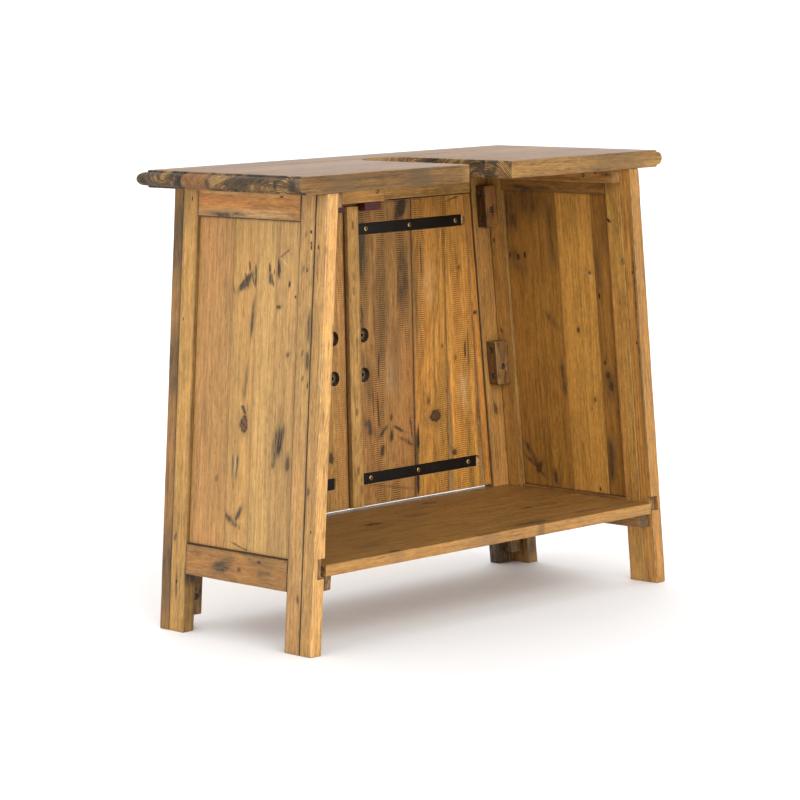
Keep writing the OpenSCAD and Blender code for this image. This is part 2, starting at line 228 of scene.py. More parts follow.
def make_knot_group():
    """A branch through the board: the grain swells round it, with a core, a dark rim and a halo."""
    numbers = ["U", "V", "Radius", "Stretch", "Tilt", "Core", "Rim"]
    sums = ["Swell", "Core Sum", "Rim Sum", "Stain Sum"]
    net, given, wanted = new_group(
        "knot",
        [("Local", "Vector")] + [(n, "Float") for n in numbers + sums],
        [(n, "Float") for n in sums],
    )
    m, add, sub, mul = net.math, net.add, net.sub, net.mul
    u, v, _ = net.split(given["Local"])
    du, dv = sub(u, given["U"]), sub(v, given["V"])
    turn_c, turn_s = m("COSINE", given["Tilt"]), m("SINE", given["Tilt"])
    a = add(mul(du, turn_c), mul(dv, turn_s))
    b = sub(mul(dv, turn_c), mul(du, turn_s))
    a = m("DIVIDE", m("DIVIDE", a, given["Radius"]), given["Stretch"])
    b = m("DIVIDE", b, given["Radius"])
    uneven = net.noise(net.xyz(add(a, given["U"]), b, given["Radius"]), (1.3, 1.3, 90), 3.0, 0.62)
    far = net.vec("LENGTH", net.xyz(a, b, 0.0))
    far = add(far, mul(sub(uneven, 0.5), 1.5))
    core = mul(net.ease(far, 0.55, 1.1, 1, 0), given["Core"])
    rim = mul(net.ease(far, 0.45, 0.9), net.ease(far, 0.92, 1.35, 1, 0))
    rim = mul(rim, given["Rim"])
    fall = m("EXPONENT", mul(mul(far, far), -0.32))
    swell = mul(mul(fall, given["Radius"]), 1.15)
    net.put(wanted["Swell"], add(given["Swell"], swell))
    net.put(wanted["Core Sum"], m("MAXIMUM", given["Core Sum"], core))
    net.put(wanted["Rim Sum"], m("MAXIMUM", given["Rim Sum"], rim))
    net.put(wanted["Stain Sum"], m("MAXIMUM", given["Stain Sum"], mul(mul(fall, given["Core"]), 0.5)))
    return net.tree


def make_streak_group():
    """A stain, crack or smear that follows a line, soft at its ends and ragged at its sides."""
    numbers = ["U", "V", "Reach", "Width", "Slope", "Amount", "Sum"]
    net, given, wanted = new_group(
        "streak",
        [("Local", "Vector")] + [(n, "Float") for n in numbers],
        [("Sum", "Float")],
    )
    m, add, sub, mul = net.math, net.add, net.sub, net.mul
    u, v, _ = net.split(given["Local"])
    du, dv = sub(u, given["U"]), sub(v, given["V"])
    ragged = sub(net.noise(given["Local"], (40, 150, 150), 4.0, 0.65), 0.5)
    dv = sub(dv, mul(du, given["Slope"]))
    dv = m("DIVIDE", dv, given["Width"])
    dv = add(dv, mul(ragged, 2.2))
    du = m("DIVIDE", m("ABSOLUTE", du), given["Reach"])
    du = add(du, mul(ragged, 0.7))
    side = m("EXPONENT", mul(mul(dv, dv), -0.7))
    mask = mul(mul(side, net.ease(du, 0.3, 1.0, 1, 0)), given["Amount"])
    net.put(wanted["Sum"], m("MAXIMUM", given["Sum"], mask))
    return net.tree


SAW_PITCH = 0.0031  # m between the marks of the band saw
TINT = {name: srgb(*rgb) for name, rgb in {
    "weathered": (86, 66, 43), "fleck": (84, 54, 26), "saw mark": (58, 40, 22), "red heart": (124, 70, 38),
    "grey heart": (80, 60, 40), "bleached": (228, 196, 148), "damp_and_shade": (98, 78, 52), "wet_and_shade": (50, 42, 33),
    "knot rim": (46, 31, 20), "split": (34, 22, 13), "dirt": (66, 46, 28), "rubbed": (222, 186, 134),
    "seam": (40, 26, 15), "end brown": (70, 58, 44), "end black": (34, 31, 28),
    "end yellow": (150, 108, 58), "hard ring": (220, 178, 112),
}.items()}
PINE_NUMBERS = [
    "Pith V", "Pith W", "Ring", "Seed", "Redness", "Grey", "Saw", "Worn", "Grime", "Contrast",
    "End", "End Dark", "Low Tone", "High Tone", "Joint Low", "Joint High", "Joint End", "Joint Back",
    "Swell", "Core", "Rim", "Stain", "Crack", "Pale",
]


def make_pine_group():
    """Old waxed pine cut from a tree's rings, so faces, arrises and end grain agree."""
    net, given, wanted = new_group(
        "pine",
        [("Local", "Vector"), ("Half", "Vector")]
        + [(n, "Float") for n in PINE_NUMBERS]
        + [("Light", "Color"), ("Dark", "Color"), ("Red", "Color")],
        [("Color", "Color"), ("Roughness", "Float"), ("Normal", "Vector")],
    )
    m, add, sub, mul = net.math, net.add, net.sub, net.mul
    local, seed = given["Local"], given["Seed"]
    here = net.vec("ADD", local, net.vec("SCALE", (1.37, 0.73, 0.41), seed))
    u, v, w = net.split(local)
    centred = lambda value: sub(value, 0.5)

    # rings round the pith, wandering along the board
    sway_v = mul(centred(net.noise(here, (2.6, 7, 7), 2.0, 0.45)), 0.055)
    apart = net.vec("ADD", here, (3.1, 5.7, 9.2))
    sway_w = mul(centred(net.noise(apart, (2.2, 6, 6), 2.0, 0.45)), 0.06)
    ripple = mul(centred(net.noise(here, (14, 60, 60), 2.0)), 0.003)
    far_v = add(sub(v, given["Pith V"]), sway_v)
    far_w = add(sub(w, given["Pith W"]), sway_w)
    radius = net.vec("LENGTH", net.xyz(far_v, far_w, 0.0))
    radius = add(add(radius, ripple), given["Swell"])
    phase = m("DIVIDE", radius, given["Ring"])
    turn = m("FRACT", phase)
    late = mul(net.ease(turn, 0.25, 0.85), net.ease(turn, 0.86, 1.0, 1, 0))
    year = net.node("TexWhiteNoise", noise_dimensions="1D")
    net.put(year.inputs["W"], add(m("FLOOR", phase), seed))
    late = mul(late, net.ease(year.outputs[0], 0.0, 1.0, 0.25, 1.0))
    rings, late = late, mul(late, given["Contrast"])

    fibre = net.noise(here, (7, 300, 300), 3.0, 0.6)
    fine = net.noise(here, (40, 900, 900), 2.0, 0.6)
    band = net.noise(here, (1.1, 34, 34), 2.0, 0.5)
    patch = net.noise(here, (5, 13, 13), 3.0, 0.55)
    blotch = net.noise(net.vec("ADD", here, (7.7, 1.3, 4.4)), (9, 26, 26), 4.0, 0.62)
    mottle = net.noise(net.vec("ADD", here, (2.2, 8.3, 6.1)), (18, 95, 95), 3.0, 0.66)

    speckle = net.noise(net.vec("ADD", here, (5.5, 0.7, 3.3)), (85, 380, 380), 2.0, 0.6)
    pores = net.ease(net.noise(here, (190, 560, 560), 2.0, 0.6), 0.60, 0.74)

    colour = net.mix(mul(late, 0.8), given["Light"], given["Dark"])
    red = mul(net.ease(add(mul(band, 0.6), mul(patch, 0.4)), 0.44, 0.62), given["Redness"])
    colour = net.mix(red, colour, given["Red"])
    shade = mul(centred(fibre), 1.12)
    for part, amount in ((band, 0.6), (patch, 0.55), (fine, 0.7), (mottle, 0.8), (speckle, 0.75)):
        shade = add(shade, mul(centred(part), amount))
    shade = add(0.83, mul(shade, add(0.5, mul(given["Contrast"], 0.9))))
    colour = net.vec("SCALE", colour, shade)

    # weathered grey-brown smears that follow the grain
    smear = add(mul(blotch, 0.45), add(mul(fibre, 0.25), mul(mottle, 0.30)))
    start = sub(0.62, mul(given["Grey"], 0.15))
    grey = net.ease(smear, start, add(start, 0.16))
    grey = mul(grey, m("MINIMUM", mul(given["Grey"], 1.2), 0.85))
    colour = net.mix(grey, colour, TINT["weathered"])

    # dark flecks and short resin lines
    fleck = net.ease(net.noise(here, (48, 420, 420), 2.0, 0.65), 0.64, 0.74)
    colour = net.mix(m("MAXIMUM", mul(fleck, 0.55), mul(pores, 0.45)), colour, TINT["fleck"])

    # band-saw marks across the grain, strongest in columns
    beat = net.noise(here, (3, 26, 26), 2.0, 0.5)
    column = net.noise(net.vec("ADD", here, (4.4, 2.9, 7.7)), (3.2, 48, 48), 3.0, 0.6)
    wave = m("SINE", add(mul(u, 2 * math.pi / SAW_PITCH), mul(beat, 8.0)))
    rough_sawn = mul(net.ease(column, 0.45, 0.56, 0.08, 1.0), given["Saw"])
    teeth = mul(mul(net.ease(wave, -0.1, 0.8), rough_sawn), net.ease(fibre, 0.28, 0.55))
    teeth = mul(teeth, net.ease(w, -0.003, 0.003, 0.15, 1.0))
    colour = net.mix(mul(teeth, 0.95), colour, TINT["saw mark"])

    # knots, stains and cracks given one by one
    core_tone = add(add(0.72, mul(centred(mottle), 1.7)), mul(centred(rings), 0.5))
    core_colour = net.mix(add(given["Grey"], 0.3, clamp=True), TINT["red heart"], TINT["grey heart"])
    core_colour = net.vec("SCALE", core_colour, core_tone)
    broken = net.ease(add(mul(mottle, 0.4), mul(add(fibre, speckle), 0.3)), 0.40, 0.58)
    colour = net.mix(mul(given["Pale"], add(0.35, mul(broken, 0.6))), colour, TINT["bleached"])
    # stains; some stain marks given below are painted shade at the feet and under the top, in these same
    # colours
    stain_and_shade = m("MINIMUM", mul(given["Stain"], add(0.40, mul(broken, 1.35))), 0.93)
    colour = net.mix(stain_and_shade, colour, net.mix(given["Stain"], TINT["damp_and_shade"], TINT["wet_and_shade"]))
    core = mul(given["Core"], net.ease(mottle, 0.28, 0.5, 0.7, 1.0))
    colour = net.mix(core, colour, core_colour)
    rim_mask = mul(given["Rim"], net.ease(mottle, 0.30, 0.58, 0.25, 0.9))
    colour = net.mix(rim_mask, colour, TINT["knot rim"])
    crack = m("MINIMUM", mul(given["Crack"], 1.3), 0.95)
    colour = net.mix(crack, colour, TINT["split"])

    # the arrises: how near the point is to two faces at once
    half = net.split(given["Half"])
    gaps = [sub(h, m("ABSOLUTE", c)) for h, c in zip(half, (u, v, w))]
    pairs = [m("MAXIMUM", gaps[i], gaps[j]) for i, j in ((0, 1), (1, 2), (0, 2))]
    rim = m("MINIMUM", m("MINIMUM", pairs[0], pairs[1]), pairs[2])
    rag = net.noise(here, (30, 70, 70), 4.0, 0.65)
    ragged = add(rim, mul(centred(rag), 0.010))
    soft = mul(net.ease(ragged, -0.001, 0.006, 0.6, 0), given["Grime"])
    soft = mul(soft, net.ease(patch, 0.40, 0.60))
    worn = net.ease(ragged, -0.0005, 0.0016, 1, 0)
    worn = mul(mul(worn, net.ease(rag, 0.36, 0.56)), given["Worn"])
    worn = mul(worn, net.ease(rim, 0.0012, 0.0022, 1, 0))
    colour = net.mix(soft, colour, TINT["dirt"])
    colour = net.mix(worn, colour, TINT["rubbed"])

    # one edge of a board may be lighter or darker than its face; the boards below use this for painted
    # shade in gaps and on shaded faces, and for painted light on one face of the right rear strip
    low_gap, high_gap = add(half[1], v), sub(half[1], v)
    for gap, tone in ((low_gap, "Low Tone"), (high_gap, "High Tone")):
        on_edge = net.ease(gap, 0.0002, 0.0011, 1, 0)
        scale = add(1.0, mul(on_edge, sub(given[tone], 1.0)))
        colour = net.vec("SCALE", colour, scale)

    # dark lines where this board meets the next one
    back_gap = m("MAXIMUM", sub(half[2], w), mul(low_gap, 0.8))
    joint = 0.0
    wide = add(0.0008, mul(rag, 0.0019))
    for gap, amount in ((low_gap, "Joint Low"), (high_gap, "Joint High"),
                        (gaps[0], "Joint End"), (back_gap, "Joint Back")):
        joint = m("MAXIMUM", joint, mul(net.ease(gap, 0.0006, wide, 1, 0), given[amount]))
    colour = net.mix(mul(joint, 0.93), colour, TINT["seam"])

    # end grain drinks the stain and leaves the hard rings light
    end = m("MAXIMUM", m("LESS_THAN", gaps[0], 0.0007), given["End"])
    cluster = net.ease(net.noise(here, (24, 30, 60), 3.0, 0.6), 0.44, 0.60)
    line = mul(net.ease(turn, 0.45, 0.80), net.ease(turn, 0.84, 1.0, 1, 0))
    line = mul(line, net.ease(add(year.outputs[0], centred(mottle)), 0.1, 0.8))
    line = mul(line, add(0.22, mul(cluster, 0.78)))
    drunk = net.mix(net.ease(blotch, 0.40, 0.62), TINT["end brown"], TINT["end black"])
    drunk = net.mix(mul(cluster, 0.45), drunk, TINT["end yellow"])
    drunk = net.mix(mul(line, 0.95), drunk, TINT["hard ring"])
    drunk = net.vec("SCALE", drunk, add(0.55, mul(mottle, 0.8)))
    colour = net.mix(mul(end, given["End Dark"]), colour, drunk)

    net.put(wanted["Color"], colour)
    rough = add(add(0.50, mul(centred(fibre), 0.5)), mul(m("MAXIMUM", grey, end), 0.2))
    rough = sub(rough, mul(late, 0.07))
    net.put(wanted["Roughness"], add(rough, mul(given["Crack"], 0.3), clamp=True))
    height = add(add(mul(late, 0.35), mul(fibre, 0.9)), mul(add(fine, speckle), 0.3))
    height = sub(height, mul(m("MAXIMUM", fleck, given["Crack"]), 0.9))
    height = add(sub(height, mul(teeth, 0.9)), mul(given["Core"], 0.4))
    height = sub(height, mul(joint, 1.2))
    net.put(wanted["Normal"], net.bump(height, 0.6, 0.0008))
    return net.tree


PLACE, KNOT = make_place_group(), make_knot_group()
STREAK, PINE = make_streak_group(), make_pine_group()


def blank_material(name):
    """A new material, a Net to fill its tree, and its main shader."""
    made = bpy.data.materials.new(name)
    made.use_nodes = True
    net = Net(made.node_tree)
    return made, net, made.node_tree.nodes["Principled BSDF"]


def plain_values(style):
    """The style's numbers that go straight into the pine group."""
    names = ("seed", "redness", "grey", "saw", "worn", "grime", "contrast")
    return {name.capitalize(): style[name] for name in names}


def pine_material(name, origin, rows, half, style, marks=()):
    """One board's own material; marks are knots and streaks at points in the frame, in mm."""
    made, net, shader = blank_material(name)
    local = net.use(PLACE, **dict(zip(("Along", "Across", "Through"), rows)), Origin=origin)[0]

    def uv(point):
        at = Vector(point) * MM - Vector(origin)
        return [at.dot(Vector(row)) for row in rows[:2]]

    swell = core = rim = 0.0
    sums = {"stain": 0.0, "crack": 0.0, "pale": 0.0}
    for kind, point, *rest in marks:
        u, v = uv(point)
        if kind == "knot":
            size, stretch, tilt, inner, outer = rest
            swell, core, rim, sums["stain"] = net.use(
                KNOT, Local=local, U=u, V=v, Radius=size * MM, Stretch=stretch, Tilt=tilt,
                Core=inner, Rim=outer, Swell=swell, Core_Sum=core, Rim_Sum=rim, Stain_Sum=sums["stain"],
            )
            continue
        other, width, amount = rest
        u2, v2 = uv(other)
        run = u2 - u if abs(u2 - u) > TINY else TINY
        sums[kind] = net.use(
            STREAK, Local=local, U=(u + u2) / 2, V=(v + v2) / 2, Reach=abs(run) / 2 + width * MM,
            Width=width * MM, Slope=(v2 - v) / run, Amount=amount, Sum=sums[kind],
        )[0]
    colour, rough, normal = net.use(
        PINE, Local=local, Half=half, Pith_V=style["pith"][0] * MM, Pith_W=style["pith"][1] * MM,
        Ring=style["ring"] * MM, End_Dark=style["end_dark"], Swell=swell, Core=core, Rim=rim,
        **plain_values(style), **dict(zip(("Low_Tone", "High_Tone"), style["tones"])),
        **dict(zip(("Joint_Low", "Joint_High", "Joint_End", "Joint_Back"), style["joints"])),
        **{kind.capitalize(): total for kind, total in sums.items()},
        **{name.capitalize(): srgb(*style[name]) for name in ("light", "dark", "red")},
    )
    net.surface(shader, colour, rough, normal)
    shader.inputs["Specular IOR Level"].default_value = 0.35
    return made


LOOK = dict(
    light=(206, 160, 92), dark=(164, 112, 56), red=(184, 120, 66), redness=0.3, grey=0.35,
    saw=0.0, worn=0.5, grime=0.6, contrast=0.55, pith=(6, -60), ring=2.5, seed=0.0,
    end_dark=0.8, tones=(1, 1), joints=(0, 0, 0, 0),
)
seeds_used = [0]


def look(**changes):
    """The usual pine with some changes; each call gets its own place in the tree."""
    seeds_used[0] += 1
    return {**LOOK, "seed": seeds_used[0] * 1.618, **changes}


# ---- meshes ----
CUBE = [(i, j, k) for i in (0, 1) for j in (0, 1) for k in (0, 1)]


def to_object(name, verts, faces, material=None, smooth=True):
    """An object in the scene from verts in metres."""
    mesh = bpy.data.meshes.new(name)
    mesh.from_pydata([tuple(v) for v in verts], [], faces)
    mesh.update()
    if smooth:
        mesh.shade_smooth()
        mesh.set_sharp_from_angle(angle=SHARP)
    made = bpy.data.objects.new(name, mesh)
    bpy.context.scene.collection.objects.link(made)
    if material:
        mesh.materials.append(material)
    return made


def stations(half, radius, step):
    """Places along one axis of a board, close together near its two arrises."""
    flat = 2 * (half - 2.5 * radius)
    inner = [0.0]
    if flat > 0:
        count = max(1, round(flat / step))
        inner = [-flat / 2 + flat * i / count for i in range(count + 1)]
    side = [half, half - 0.32 * radius, half - radius]
    return [-s for s in side] + inner + side[::-1]


def box_mesh(corners, radius, step=22.0, uneven=0.35, seed=0.0):
    """Verts (m) and faces of a board with rounded, slightly uneven arrises. corners is
    [end][across][through] of points in mm."""
    point = {c: Vector(corners[c[0]][c[1]][c[2]]) for c in CUBE}
    centre = sum(point.values(), Vector()) / 8
    axes = []
    for axis in range(3):
        low, high = (sum((point[c] for c in CUBE if c[axis] == end), Vector()) / 4 for end in (0, 1))
        axes.append((high - low) / 2)
    half = [a.length for a in axes]
    steps = [stations(h, min(radius, h * 0.45), s) for h, s in zip(half, (step, 16.0, 16.0))]
    counts = [len(s) - 1 for s in steps]
    verts, index, faces = [], {}, []

    def place(i, j, k):
        if (i, j, k) in index:
            return index[i, j, k]
        at = Vector((steps[0][i], steps[1][j], steps[2][k]))
        worn = noise.noise(Vector((at.x * 0.035 + seed, at.y * 0.12, at.z * 0.12 + seed * 0.7)))
        r = min(radius, min(half) * 0.45) * max(0.25, 0.72 + uneven * 2.2 * worn)
        inside = Vector([max(-h + r, min(h - r, c)) for c, h in zip(at, half)])
        out = at - inside
        if out.length > 1e-9:
            at = inside + out.normalized() * r
        a, b, c = [0.5 + x / h / 2 for x, h in zip(at, half)]
        spot = Vector()
        for p, q, s in CUBE:
            share = (a if p else 1 - a) * (b if q else 1 - b) * (c if s else 1 - c)
            spot += point[p, q, s] * share
        index[i, j, k] = len(verts)
        verts.append(spot * MM)
        return index[i, j, k]

    for axis in range(3):
        one, two = [x for x in range(3) if x != axis]
        for end in (0, counts[axis]):
            for p in range(counts[one]):
                for q in range(counts[two]):
                    quad = []
                    for dp, dq in ((0, 0), (1, 0), (1, 1), (0, 1)):
                        cell = [0, 0, 0]
                        cell[axis], cell[one], cell[two] = end, p + dp, q + dq
                        quad.append(place(*cell))
                    faces.append(quad)
    # outward faces: turn any that look towards the centre
    middle = centre * MM
    for n, quad in enumerate(faces):
        a, b, c = (verts[x] for x in quad[:3])
        if (b - a).cross(c - a).dot((a + b + c) / 3 - middle) < 0:
            faces[n] = quad[::-1]
    return verts, faces, centre, axes, half


def board_rows(centre, axes, half):
    """Origin, the three rows that turn a point into board coordinates, and half sizes, in m."""
    turn = Matrix([[a[r] for a in axes] for r in range(3)]).inverted()
    rows = [tuple(x * half[n] for x in turn[n]) for n in range(3)]
    return tuple(centre * MM), rows, tuple(h * MM for h in half)


def board(name, corners, style, node=None, body="carcass", radius=1.5, marks=(),
          cuts=()):
    """A board that stands for a CAD node, its own name's unless given, in its own pine material."""
    verts, faces, centre, axes, half = box_mesh(corners, radius, seed=style["seed"])
    material = pine_material("pine_" + name, *board_rows(centre, axes, half), style, marks)
    made = to_object(name, verts, faces, material)
    if cuts:
        carve(made, cuts)
    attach(made, body)
    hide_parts(node or name)


def carve(target, cutters):
    """Cuts closed meshes out of target for good; each cutter brings its own wall material."""
    for number, (verts, faces, material) in enumerate(cutters):
        tool = to_object(f"cutter{number}", verts, faces, material, smooth=False)
        cut = target.modifiers.new("cut", "BOOLEAN")
        cut.object, cut.operation, cut.solver = tool, "DIFFERENCE", "EXACT"
        cut.material_mode = "TRANSFER"
        shape = bpy.data.meshes.new_from_object(
            target.evaluated_get(bpy.context.evaluated_depsgraph_get())
        )
        target.modifiers.remove(cut)
        old, target.data = target.data, shape
        bpy.data.meshes.remove(old)
        bpy.data.objects.remove(tool)
    target.data.shade_smooth()
    target.data.set_sharp_from_angle(angle=CUT_SHARP)


def lathe(profile, count=28):
    """Verts and faces of a closed turned shape from (radius, height) pairs, in mm."""
    verts, faces, rings = [], [], []
    for radius, height in profile:
        if radius < TINY:
            rings.append([len(verts)])
            verts.append(Vector((0, 0, height)))
            continue
        rings.append(list(range(len(verts), len(verts) + count)))
        for i in range(count):
            angle = 2 * math.pi * i / count
            verts.append(Vector((radius * math.cos(angle), radius * math.sin(angle), height)))
    for low, high in zip(rings, rings[1:]):
        for i in range(count):
            j = (i + 1) % count
            if len(low) == 1:
                faces.append([low[0], high[j], high[i]])
            elif len(high) == 1:
                faces.append([low[i], low[j], high[0]])
            else:
                faces.append([low[i], low[j], high[j], high[i]])
    return verts, faces


def prism(outline, low, high):
    """Verts and faces of an outline of (x, y) pairs drawn from height low to high."""
    n = len(outline)
    verts = [Vector((x, y, z)) for z in (low, high) for x, y in outline]
    faces = [list(range(n))[::-1], list(range(n, 2 * n))]
    faces += [[i, (i + 1) % n, n + (i + 1) % n, n + i] for i in range(n)]
    return verts, faces


def aimed(point, out, spin=0.0):
    """A matrix in mm whose +Z points along out, at point."""
    turn = Vector(out).to_track_quat("Z", "Y").to_matrix().to_4x4()
    return Matrix.Translation(Vector(point)) @ turn @ Matrix.Rotation(spin, 4, "Z")


def moved(shape, matrix):
    """A shape in mm put in place, in metres; a mirrored one has its faces turned back."""
    verts, faces = shape
    if matrix.to_3x3().determinant() < 0:
        faces = [face[::-1] for face in faces]
    return [(matrix @ v) * MM for v in verts], faces


def block_shape(corners):
    """A plain closed block from corners[end][across][through] in mm, for cutting, in metres."""
    verts = [Vector(corners[i][j][k]) * MM for i, j, k in CUBE]
    faces = [[0, 1, 3, 2], [4, 6, 7, 5], [0, 4, 5, 1], [2, 3, 7, 6], [0, 2, 6, 4], [1, 5, 7, 3]]
    middle = sum(verts, Vector()) / 8
    a, b, c = (verts[x] for x in faces[0][:3])
    if (b - a).cross(c - a).dot(a - middle) < 0:
        faces = [face[::-1] for face in faces]
    return verts, faces


def joined(name, shapes, material, body, replaces=True):
    """One piece from several shapes already in metres; it stands for the node of its name."""
    verts, faces = [], []
    for v, f in shapes:
        start = len(verts)
        verts += v
        faces += [[start + x for x in face] for face in f]
    made = to_object(name, verts, faces, material)
    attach(made, body)
    if replaces:
        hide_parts(name)


# ---- other materials ----
def worn_metal(name, base, bare, metallic, rough, wear):
    """Metal with patchy oxide, rubbed spots and fine scratches."""
    made, net, shader = blank_material(name)
    here = net.node("TexCoord").outputs["Object"]
    cloud = net.noise(here, (90, 90, 90), 4.0, 0.6)
    speck = net.noise(here, (700, 700, 700), 3.0, 0.6)
    scratch = net.noise(here, (60, 60, 1500), 2.0, 0.6)
    rubbed = net.ease(net.add(net.mul(cloud, 0.5), net.mul(scratch, 0.5)), 0.54, 0.68)
    colour = net.mix(net.mul(rubbed, wear), srgb(*base), srgb(*bare))
    colour = net.vec("SCALE", colour, net.ease(speck, 0.3, 0.7, 0.72, 1.15))
    shader.inputs["Metallic"].default_value = metallic
    net.surface(shader, colour, net.ease(cloud, 0.3, 0.7, rough - 0.1, rough + 0.12),
               net.bump(net.add(cloud, net.mul(speck, 0.4)), 0.35, 0.0003))
    return made


BLACK_IRON = worn_metal("black_iron", (13, 11, 10), (58, 47, 38), 0.3, 0.46, 0.3)
ZINC = worn_metal("yellow_zinc", (196, 168, 104), (232, 214, 168), 0.9, 0.36, 0.8)
DULL_ZINC = worn_metal("dull_zinc", (120, 108, 88), (170, 158, 132), 0.8, 0.5, 0.7)
NAIL_IRON = worn_metal("nail_iron", (44, 36, 30), (92, 78, 62), 0.5, 0.6, 0.5)


def make_plastic():
    """The catches' dark red-brown plastic, lighter where dust lies."""
    made, net, shader = blank_material("brown_plastic")
    here = net.node("TexCoord").outputs["Object"]
    grain = net.noise(here, (1400, 1400, 1400), 2.0, 0.6)
    dust = net.noise(here, (120, 120, 120), 3.0, 0.6)
    colour = net.mix(net.ease(dust, 0.45, 0.8, 0.0, 0.5), srgb(74, 30, 24), srgb(112, 66, 52))
    net.surface(shader, colour, net.ease(dust, 0.3, 0.7, 0.38, 0.6), net.bump(grain, 0.2, 0.0002))
    return made


def make_cut_wood(name, light, dark):
    """Freshly cut or drilled wood inside a housing or a bore."""
    made, net, shader = blank_material(name)
    here = net.node("TexCoord").outputs["Object"]
    fibre = net.noise(here, (420, 420, 70), 3.0, 0.65)
    blot = net.noise(here, (110, 110, 60), 3.0, 0.6)
    shade = net.ease(net.add(net.mul(fibre, 0.6), net.mul(blot, 0.4)), 0.38, 0.62)
    net.surface(shader, net.mix(shade, srgb(*dark), srgb(*light)), net.ease(fibre, 0.3, 0.7, 0.6, 0.85),
               net.bump(fibre, 0.5, 0.0005))
    return made


PLASTIC = make_plastic()
BARE_WOOD = make_cut_wood("bare_cut_wood", (232, 196, 140), (176, 126, 70))
DARK_BORE = make_cut_wood("dark_bore_wood", (96, 72, 44), (48, 34, 22))
NOTCH_WOOD = make_cut_wood("notch_wood", (172, 130, 76), (112, 78, 42))


# ---- corner lists for boards, mm ----
def lean_board(side, z, inset, y):
    """Grain up the slope; across is Y and through is the inset."""
    return [[[(lean_x(side, i, a), b, a) for i in inset] for b in y] for a in z]


def side_rail_corners(side, z, inset, y):
    """Grain front to back; across is up the slope."""
    return [[[(lean_x(side, i, b), a, b) for i in inset] for b in z] for a in y]


def cross_board(x_at, z, y):
    """Grain along X; x_at(end, z) gives the ends, across is Z and through is Y."""
    return [[[(x_at(a, b), c, b) for c in y] for b in z] for a in (0, 1)]


def upright_board(x_at, z, y):
    """Grain up; x_at(edge, z) gives the edges, across is X and through is Y."""
    return [[[(x_at(b, a), c, a) for c in y] for b in (0, 1)] for a in z]


def flat_board(x, y, z):
    """Grain along X; across is Y and through is Z."""
    return [[[(a, b, c) for c in z] for b in y] for a in x]


# ---- top board ----
def top_levels():
    """(inset of the moulded edges, inset of square edges, height) from below upwards."""
    arc = [(9 - 9 * math.cos(t), 9 * math.sin(t)) for t in
           (math.radians(a) for a in range(-90, 91, 15))]
    low = [(13.0, 1.2, 0.0), (11.6, 0.3, 0.25), (11.1, 0.0, 1.0), (11.0, 0.0, 2.6), (10.7, 0.0, 3.0)]
    high = [(10.7, 0.0, 21.0), (11.0, 0.0, 21.4), (11.1, 0.0, 22.6), (11.7, 0.35, 23.6), (13.2, 1.4, 24.0)]
    return low + [(e, 0.0, 12 + h) for e, h in arc] + high


def top_outline(moulded, square):
    """The plan of the top at one level, always with the same number of points."""
    left, right = -TOP_W / 2 + moulded, TOP_W / 2 - moulded
    front, back = -DEPTH / 2 + moulded, BACK - square
    slot = SLOT_W / 2 + square
    centre_y = BACK - SLOT_D + SLOT_W / 2
    points = []

    def run(a, b, count):
        for i in range(count):
            points.append((a[0] + (b[0] - a[0]) * i / count, a[1] + (b[1] - a[1]) * i / count))

    run((left, back), (left, front), 14)
    run((left, front), (right, front), 28)
    run((right, front), (right, back), 14)
    run((right, back), (slot, back), 12)
    run((slot, back), (slot, centre_y), 8)
    for i in range(24):
        angle = math.pi * i / 24
        points.append((slot * math.cos(angle), centre_y - slot * math.sin(angle)))
    run((-slot, centre_y), (-slot, back), 8)
    run((-slot, back), (left, back), 12)
    return points


TOP_PLANKS = [-DEPTH / 2, -118, -71, -22, 20, 63, 112, BACK]


def make_top():
    """The top, its moulded edges worn and chipped, with fine grooves between the planks."""
    verts, faces, ends = [], [], []
    levels = top_levels()
    for moulded, square, height in levels:
        wear = 0.5 if height < 3 or height > 21 else 0.15
        for x, y in top_outline(moulded, square):
            jitter = noise.noise(Vector((x * 0.03, y * 0.03, height * 0.02 + 4)))
            chip = max(0.0, noise.noise(Vector((x * 0.09, y * 0.09, 7))) - 0.35) * 3.0
            into = (Vector((0.93 * x, 0.93 * y, 0)) - Vector((x, y, 0))).normalized()
            slot_wall = abs(x) < SLOT_W / 2 + 3 and y > BACK - SLOT_D - 3
            if slot_wall or y > BACK - 3:
                into = Vector()
            shift = into * (wear * (0.5 + jitter + chip))
            verts.append(Vector((x + shift.x, y + shift.y, UNDER_TOP + height)) * MM)
    count = len(top_outline(0, 0))
    for level in range(len(levels) - 1):
        for i in range(count):
            j = (i + 1) % count
            a, b = level * count + i, level * count + j
            faces.append([a, b, b + count, a + count])
            span = verts[b] - verts[a]
            ends.append(abs(span.y) / max(span.length, 1e-9))
    faces.append(list(range(count))[::-1])
    faces.append([(len(levels) - 1) * count + i for i in range(count)])
    ends += [0.0, 0.0]

    made = to_object("top_board", verts, faces)
    attribute = made.data.attributes.new("end", "FLOAT", "CORNER")
    values = []
    for polygon, end in zip(made.data.polygons, ends):
        values += [end] * polygon.loop_total
    attribute.data.foreach_set("value", values)
    made.data.materials.append(top_material())
    grooves = []
    x = TOP_W / 2 + 2
    for y in TOP_PLANKS[1:-1]:
        strip = [(-x, y - 0.22), (x, y - 0.22), (x, y + 0.22), (-x, y + 0.22)]
        for z in (UNDER_TOP - 1, HEIGHT - 0.45):
            v, f = prism(strip, z, z + 1.45)
            grooves.append(([p * MM for p in v], f, DARK_BORE))
    carve(made, grooves)
    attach(made, "carcass")
    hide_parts("top_board")


